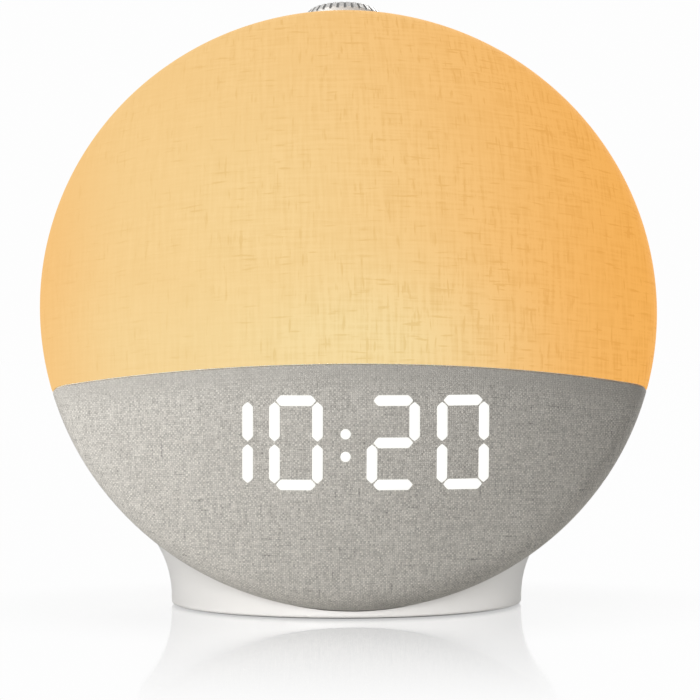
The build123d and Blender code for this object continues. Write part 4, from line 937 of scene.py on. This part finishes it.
class CLOCK_OT_casing(bpy.types.Operator):
    """Finishes the back, the shells under the cloth and the chassis"""

    bl_idname = "clock.casing"
    bl_label = "Casing and Shells"

    def execute(self, context):
        give(moulded("casing_white", (0.74, 0.72, 0.69), 0.48, 0.03), "rear_casing")
        give(frosted("diffuser_frost", (0.86, 0.82, 0.72)), "upper_diffuser_shell")
        give(moulded("shell_white", (0.72, 0.71, 0.68), 0.5), "lower_front_shell")
        give(moulded("divider_black", BLACK, 0.6), "light_divider")
        give(moulded("chassis_white", (0.70, 0.70, 0.68), 0.5), "chassis_plate")
        give(metal("casing_screw_zinc", (0.50, 0.50, 0.50), 0.34), "casing_screws")
        give(metal("shell_screw_zinc", ZINC, 0.32), "shell_screws")
        return {"FINISHED"}


class CLOCK_OT_speaker(bpy.types.Operator):
    """Finishes the speaker and its grille"""

    bl_idname = "clock.speaker"
    bl_label = "Speaker"

    def execute(self, context):
        give(moulded("grille_grey", (0.34, 0.33, 0.32), 0.5, 0.03), "speaker_grille")
        give(moulded("frame_black", (0.03, 0.03, 0.032), 0.4), "speaker_frame")
        give(soft("gasket_foam", (0.05, 0.05, 0.05), 700.0, 0.15), "speaker_gasket")
        give(metal("top_plate_zinc", BRIGHT_ZINC, 0.3), "speaker_top_plate")
        give(soft("magnet_ferrite", (0.06, 0.06, 0.062), 1500.0), "speaker_magnet")
        give(metal("yoke_zinc", BRIGHT_ZINC, 0.3), "speaker_yoke")
        give(soft("cone_paper", (0.035, 0.033, 0.03), 1800.0, 0.08), "speaker_cone", "dust_cap")
        give(soft("surround_rubber", BLACK, 1400.0, 0.02), "speaker_surround")
        give(soft("spider_cloth", (0.45, 0.26, 0.06), 1100.0, 0.08), "speaker_spider")
        give(moulded("lead_red", (0.45, 0.03, 0.02), 0.5), "speaker_lead")
        give(metal("speaker_screw_black", (0.08, 0.08, 0.08), 0.4), "speaker_screws")
        return {"FINISHED"}


class CLOCK_OT_works(bpy.types.Operator):
    """Finishes the boards, the lights and what else is inside"""

    bl_idname = "clock.works"
    bl_label = "Works"

    def execute(self, context):
        give(metal("spreader_aluminium", ALUMINIUM, 0.35, (1, 8, 1)), "heat_spreader")
        give(board("light_mask", (0.72, 0.73, 0.72), (0.80, 0.80, 0.78)), "light_board")
        give(phosphor("warm_leds", (0.90, 0.50, 0.06)), "light_leds")
        give(moulded("reflector_white", (0.82, 0.82, 0.80), 0.35), "light_reflector")
        give(board("board_green", *GREEN_MASK), "display_board", "main_board")
        give(phosphor("white_leds", (0.85, 0.85, 0.80)), "display_leds")
        give(moulded("light_box_black", (0.015, 0.015, 0.015), 0.7), "display_light_box")
        give(frosted("guide_milky", (0.90, 0.90, 0.88)), "segment_guides")
        give(metal("can_nickel", (0.66, 0.65, 0.62), 0.25), "wireless_module")
        give(moulded("chip_resin", (0.02, 0.02, 0.022), 0.45), "main_chips")
        give(metal("capacitor_can", ALUMINIUM, 0.28), "power_capacitors")
        give(moulded("holder_black", BLACK, 0.5), "cell_holder")
        give(metal("cell_nickel", (0.68, 0.67, 0.64), 0.2), "backup_cell")
        give(moulded("connector_cream", (0.72, 0.66, 0.48), 0.4), "board_connectors", "light_link")
        give(moulded("flat_cable", CABLE, 0.4), "display_ribbon")
        give(soft("harness_sleeve", BLACK, 1500.0), "power_harness")
        give(metal("board_screw_zinc", ZINC, 0.32), "board_screws")
        return {"FINISHED"}


# ---------------------------------------------------------------- studio

CAMERA_AT = (-42.16 * MM, -923.1 * MM, 108.635 * MM)
CAMERA_TARGET = (0.044 * MM, -24.1 * MM, 87.226 * MM)
CAMERA_LENS = 138.7  # focal length in millimetres
SENSOR = 36  # its width in millimetres
# The foot where it comes nearest to the table: how far it reaches to either side, forward and
# back, and how far in front of the middle its front half begins.
FOOT_SIDE = 59.2 * MM
FOOT_FRONT = 47.3 * MM
FOOT_REAR = 32.2 * MM
FLANK = 1 * MM
# Shares of that oval: where the dark of its gap ends, and where the faint shadow does.
GAP_EDGE = (0.93, 0.985)
SHADOW_EDGE = (1.0, 2.6)
SHINE_BEGINS = -30 * MM  # the mirror image is whole behind this y
MIRROR_ROUGHNESS = 0.06
FLOOR_RINGS, FLOOR_SPOKES = 24, 96
FLOOR_DROP = 0.05 * MM  # keeps the floor off the foot's pad
FLOOR_WHITE = (0.88, 0.88, 0.87, 1)
LAMP_REACH = 2.1  # from the clock to each lamp
LAMP_SIZE = 1.1
LAMP_TARGET = np.array([0, 0, 0.1])
# A lamp's compass angle from straight in front (to the right is more), and its height angle.
KEY_FROM = (-48, 8)
FOOT_FROM = (-15, 8)
FOOT_LEFT_FROM = (-58, 8)
FOOT_RIGHT_FROM = (36, 8)
RIGHT_FROM = (138, 10)
BACK_FROM = (165, 30)
WHITE = (0.985, 0.985, 0.985, 1)


def aim(thing, at, target):
    thing.location = at
    thing.rotation_euler = (Vector(target) - Vector(at)).to_track_quat("-Z", "Y").to_euler()


def floor_finish():
    """A white floor that shows what such a floor does: under the foot's edge the dark of its gap,
    round it a faint shadow, and in front a weak mirror image that fades towards the camera.

    Under the foot means inside its oval, whose front and rear halves reach differently: out is 1
    on the oval, as the root of the squares of x and y over how far it reaches. The mirror's share
    rises smoothly with y from nothing at the fade's far end.
    """
    sizes = bpy.context.scene.clock_studio
    finish = Finish("studio_floor")
    x, y, _ = finish.parts(finish.place())
    seen = finish.node("ShaderNodeLightPath", out="Is Camera Ray")
    diffuse = finish.node("ShaderNodeBsdfDiffuse", inputs={"Color": FLOOR_WHITE})
    gloss = {"Color": (1, 1, 1, 1), "Roughness": MIRROR_ROUGHNESS}
    mirror = finish.node("ShaderNodeBsdfGlossy", inputs=gloss)
    white = finish.node("ShaderNodeEmission", inputs={"Color": WHITE, "Strength": 1.0})
    ahead = (y + FLANK) / (FLANK - FOOT_FRONT)
    along = ahead.maths("MAXIMUM", ahead, y / FOOT_REAR)
    out = ((x / FOOT_SIDE) ** 2 + along * along).root()
    shadow = 1 - out.ramp(*GAP_EDGE) * (1 - sizes.shadow * (1 - out.ramp(*SHADOW_EDGE)))
    shine = sizes.shine * y.ramp(-sizes.fade, SHINE_BEGINS)
    shown = finish.node("ShaderNodeMixShader", inputs={0: shine, 1: white, 2: mirror})
    shown = finish.node("ShaderNodeMixShader", inputs={0: shadow, 1: shown, 2: diffuse})
    both = finish.node("ShaderNodeMixShader", inputs={0: seen, 1: diffuse, 2: shown})
    return finish.close(both)


def floor_mesh(radius):
    """A disc: rings out from the middle, each at an even share of the radius."""
    rings = np.linspace(0, radius, FLOOR_RINGS)
    out, angle = np.meshgrid(rings, turns(FLOOR_SPOKES), indexing="ij")
    low = np.full_like(out, -FLOOR_DROP)
    points = np.stack([out * np.cos(angle), out * np.sin(angle), low], axis=-1)
    return merged(skin("studio_floor", points), "studio_floor")


def light_the_room(level):
    """White all round for the eye and for reflections, and a lower even level as light."""
    world = bpy.data.worlds.new("studio")
    bpy.context.scene.world = world
    world.use_nodes = True
    tree = world.node_tree
    tree.nodes.clear()
    rays = tree.nodes.new("ShaderNodeLightPath")
    either = tree.nodes.new("ShaderNodeMath")
    either.operation = "MAXIMUM"
    tree.links.new(rays.outputs["Is Camera Ray"], either.inputs[0])
    tree.links.new(rays.outputs["Is Glossy Ray"], either.inputs[1])
    backdrop = tree.nodes.new("ShaderNodeBackground")
    backdrop.inputs["Color"].default_value = WHITE
    light = tree.nodes.new("ShaderNodeBackground")
    light.inputs["Color"].default_value = (1, 1, 1, 1)
    light.inputs["Strength"].default_value = level
    mix = tree.nodes.new("ShaderNodeMixShader")
    tree.links.new(either.outputs[0], mix.inputs[0])
    tree.links.new(light.outputs[0], mix.inputs[1])
    tree.links.new(backdrop.outputs[0], mix.inputs[2])
    out = tree.nodes.new("ShaderNodeOutputWorld")
    tree.links.new(mix.outputs[0], out.inputs["Surface"])


class CLOCK_OT_studio(bpy.types.Operator):
    """Sets up the floor, the light and the camera"""

    bl_idname = "clock.studio"
    bl_label = "Studio"

    def execute(self, context):
        scene, sizes = context.scene, context.scene.clock_studio
        scene.view_settings.view_transform = "Standard"
        mesh = floor_mesh(sizes.floor_radius)
        mesh.materials.append(floor_finish())
        floor = bpy.data.objects.new("studio_floor", mesh)
        scene.collection.objects.link(floor)
        light_the_room(sizes.ambient)
        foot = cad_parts["foot_shell"]
        for name, power, way, for_foot in (
            ("key", sizes.key, KEY_FROM, False),
            ("foot_front", sizes.foot_front, FOOT_FROM, True),
            ("foot_left", sizes.foot_sides, FOOT_LEFT_FROM, True),
            ("foot_right", sizes.foot_sides, FOOT_RIGHT_FROM, True),
            ("right", sizes.right, RIGHT_FROM, False),
            ("back", sizes.back, BACK_FROM, None),
        ):
            lamp = bpy.data.lights.new(name, "AREA")
            lamp.energy, lamp.size = power, LAMP_SIZE
            held = bpy.data.objects.new(name, lamp)
            scene.collection.objects.link(held)
            turn, rise = np.radians(way)
            out = np.array([np.sin(turn), -np.cos(turn), np.tan(rise)]) * np.cos(rise)
            aim(held, out * LAMP_REACH + LAMP_TARGET, LAMP_TARGET)
            if for_foot is not None:
                lit = bpy.data.collections.new(f"lit_by_{name}")
                lit.objects.link(foot)
                held.light_linking.receiver_collection = lit
                shares = lit.collection_objects[0].light_linking
                shares.link_state = "INCLUDE" if for_foot else "EXCLUDE"
        view = bpy.data.cameras.new("camera")
        view.lens, view.sensor_width = CAMERA_LENS, SENSOR
        camera = bpy.data.objects.new("camera", view)
        scene.collection.objects.link(camera)
        aim(camera, CAMERA_AT, CAMERA_TARGET)
        scene.camera = camera
        return {"FINISHED"}


# ---------------------------------------------------------------- panel and running


class CLOCK_PT_panel(bpy.types.Panel):
    bl_idname = "CLOCK_PT_panel"
    bl_label = "Sunrise Clock"
    bl_space_type = "VIEW_3D"
    bl_region_type = "UI"
    bl_category = "Sunrise Clock"

    def draw(self, context):
        for name, group in SETTINGS.items():
            box = self.layout.box()
            held = getattr(context.scene, name)
            for key in group.__annotations__:
                box.prop(held, key)
        for operator in STEPS:
            self.layout.operator(operator.bl_idname)


SETTINGS = {
    "clock_lens": LensSizes,
    "clock_cloth": ClothSizes,
    "clock_digits": DigitSizes,
    "clock_colours": Colours,
    "clock_studio": StudioSizes,
}
STEPS = (
    CLOCK_OT_studio,
    CLOCK_OT_lit_cover,
    CLOCK_OT_grey_cover,
    CLOCK_OT_digits,
    CLOCK_OT_foot,
    CLOCK_OT_controls,
    CLOCK_OT_dial,
    CLOCK_OT_casing,
    CLOCK_OT_speaker,
    CLOCK_OT_works,
)


def register():
    for group in (*SETTINGS.values(), *STEPS, CLOCK_PT_panel):
        bpy.utils.register_class(group)
    for name, group in SETTINGS.items():
        setattr(bpy.types.Scene, name, bpy.props.PointerProperty(type=group))


def unregister():
    for name in SETTINGS:
        delattr(bpy.types.Scene, name)
    for group in (CLOCK_PT_panel, *reversed(STEPS), *reversed(SETTINGS.values())):
        bpy.utils.unregister_class(group)


def main():
    register()
    for step in STEPS:
        category, name = step.bl_idname.split(".")
        getattr(getattr(bpy.ops, category), name)()


if __name__ == "__main__":
    main()
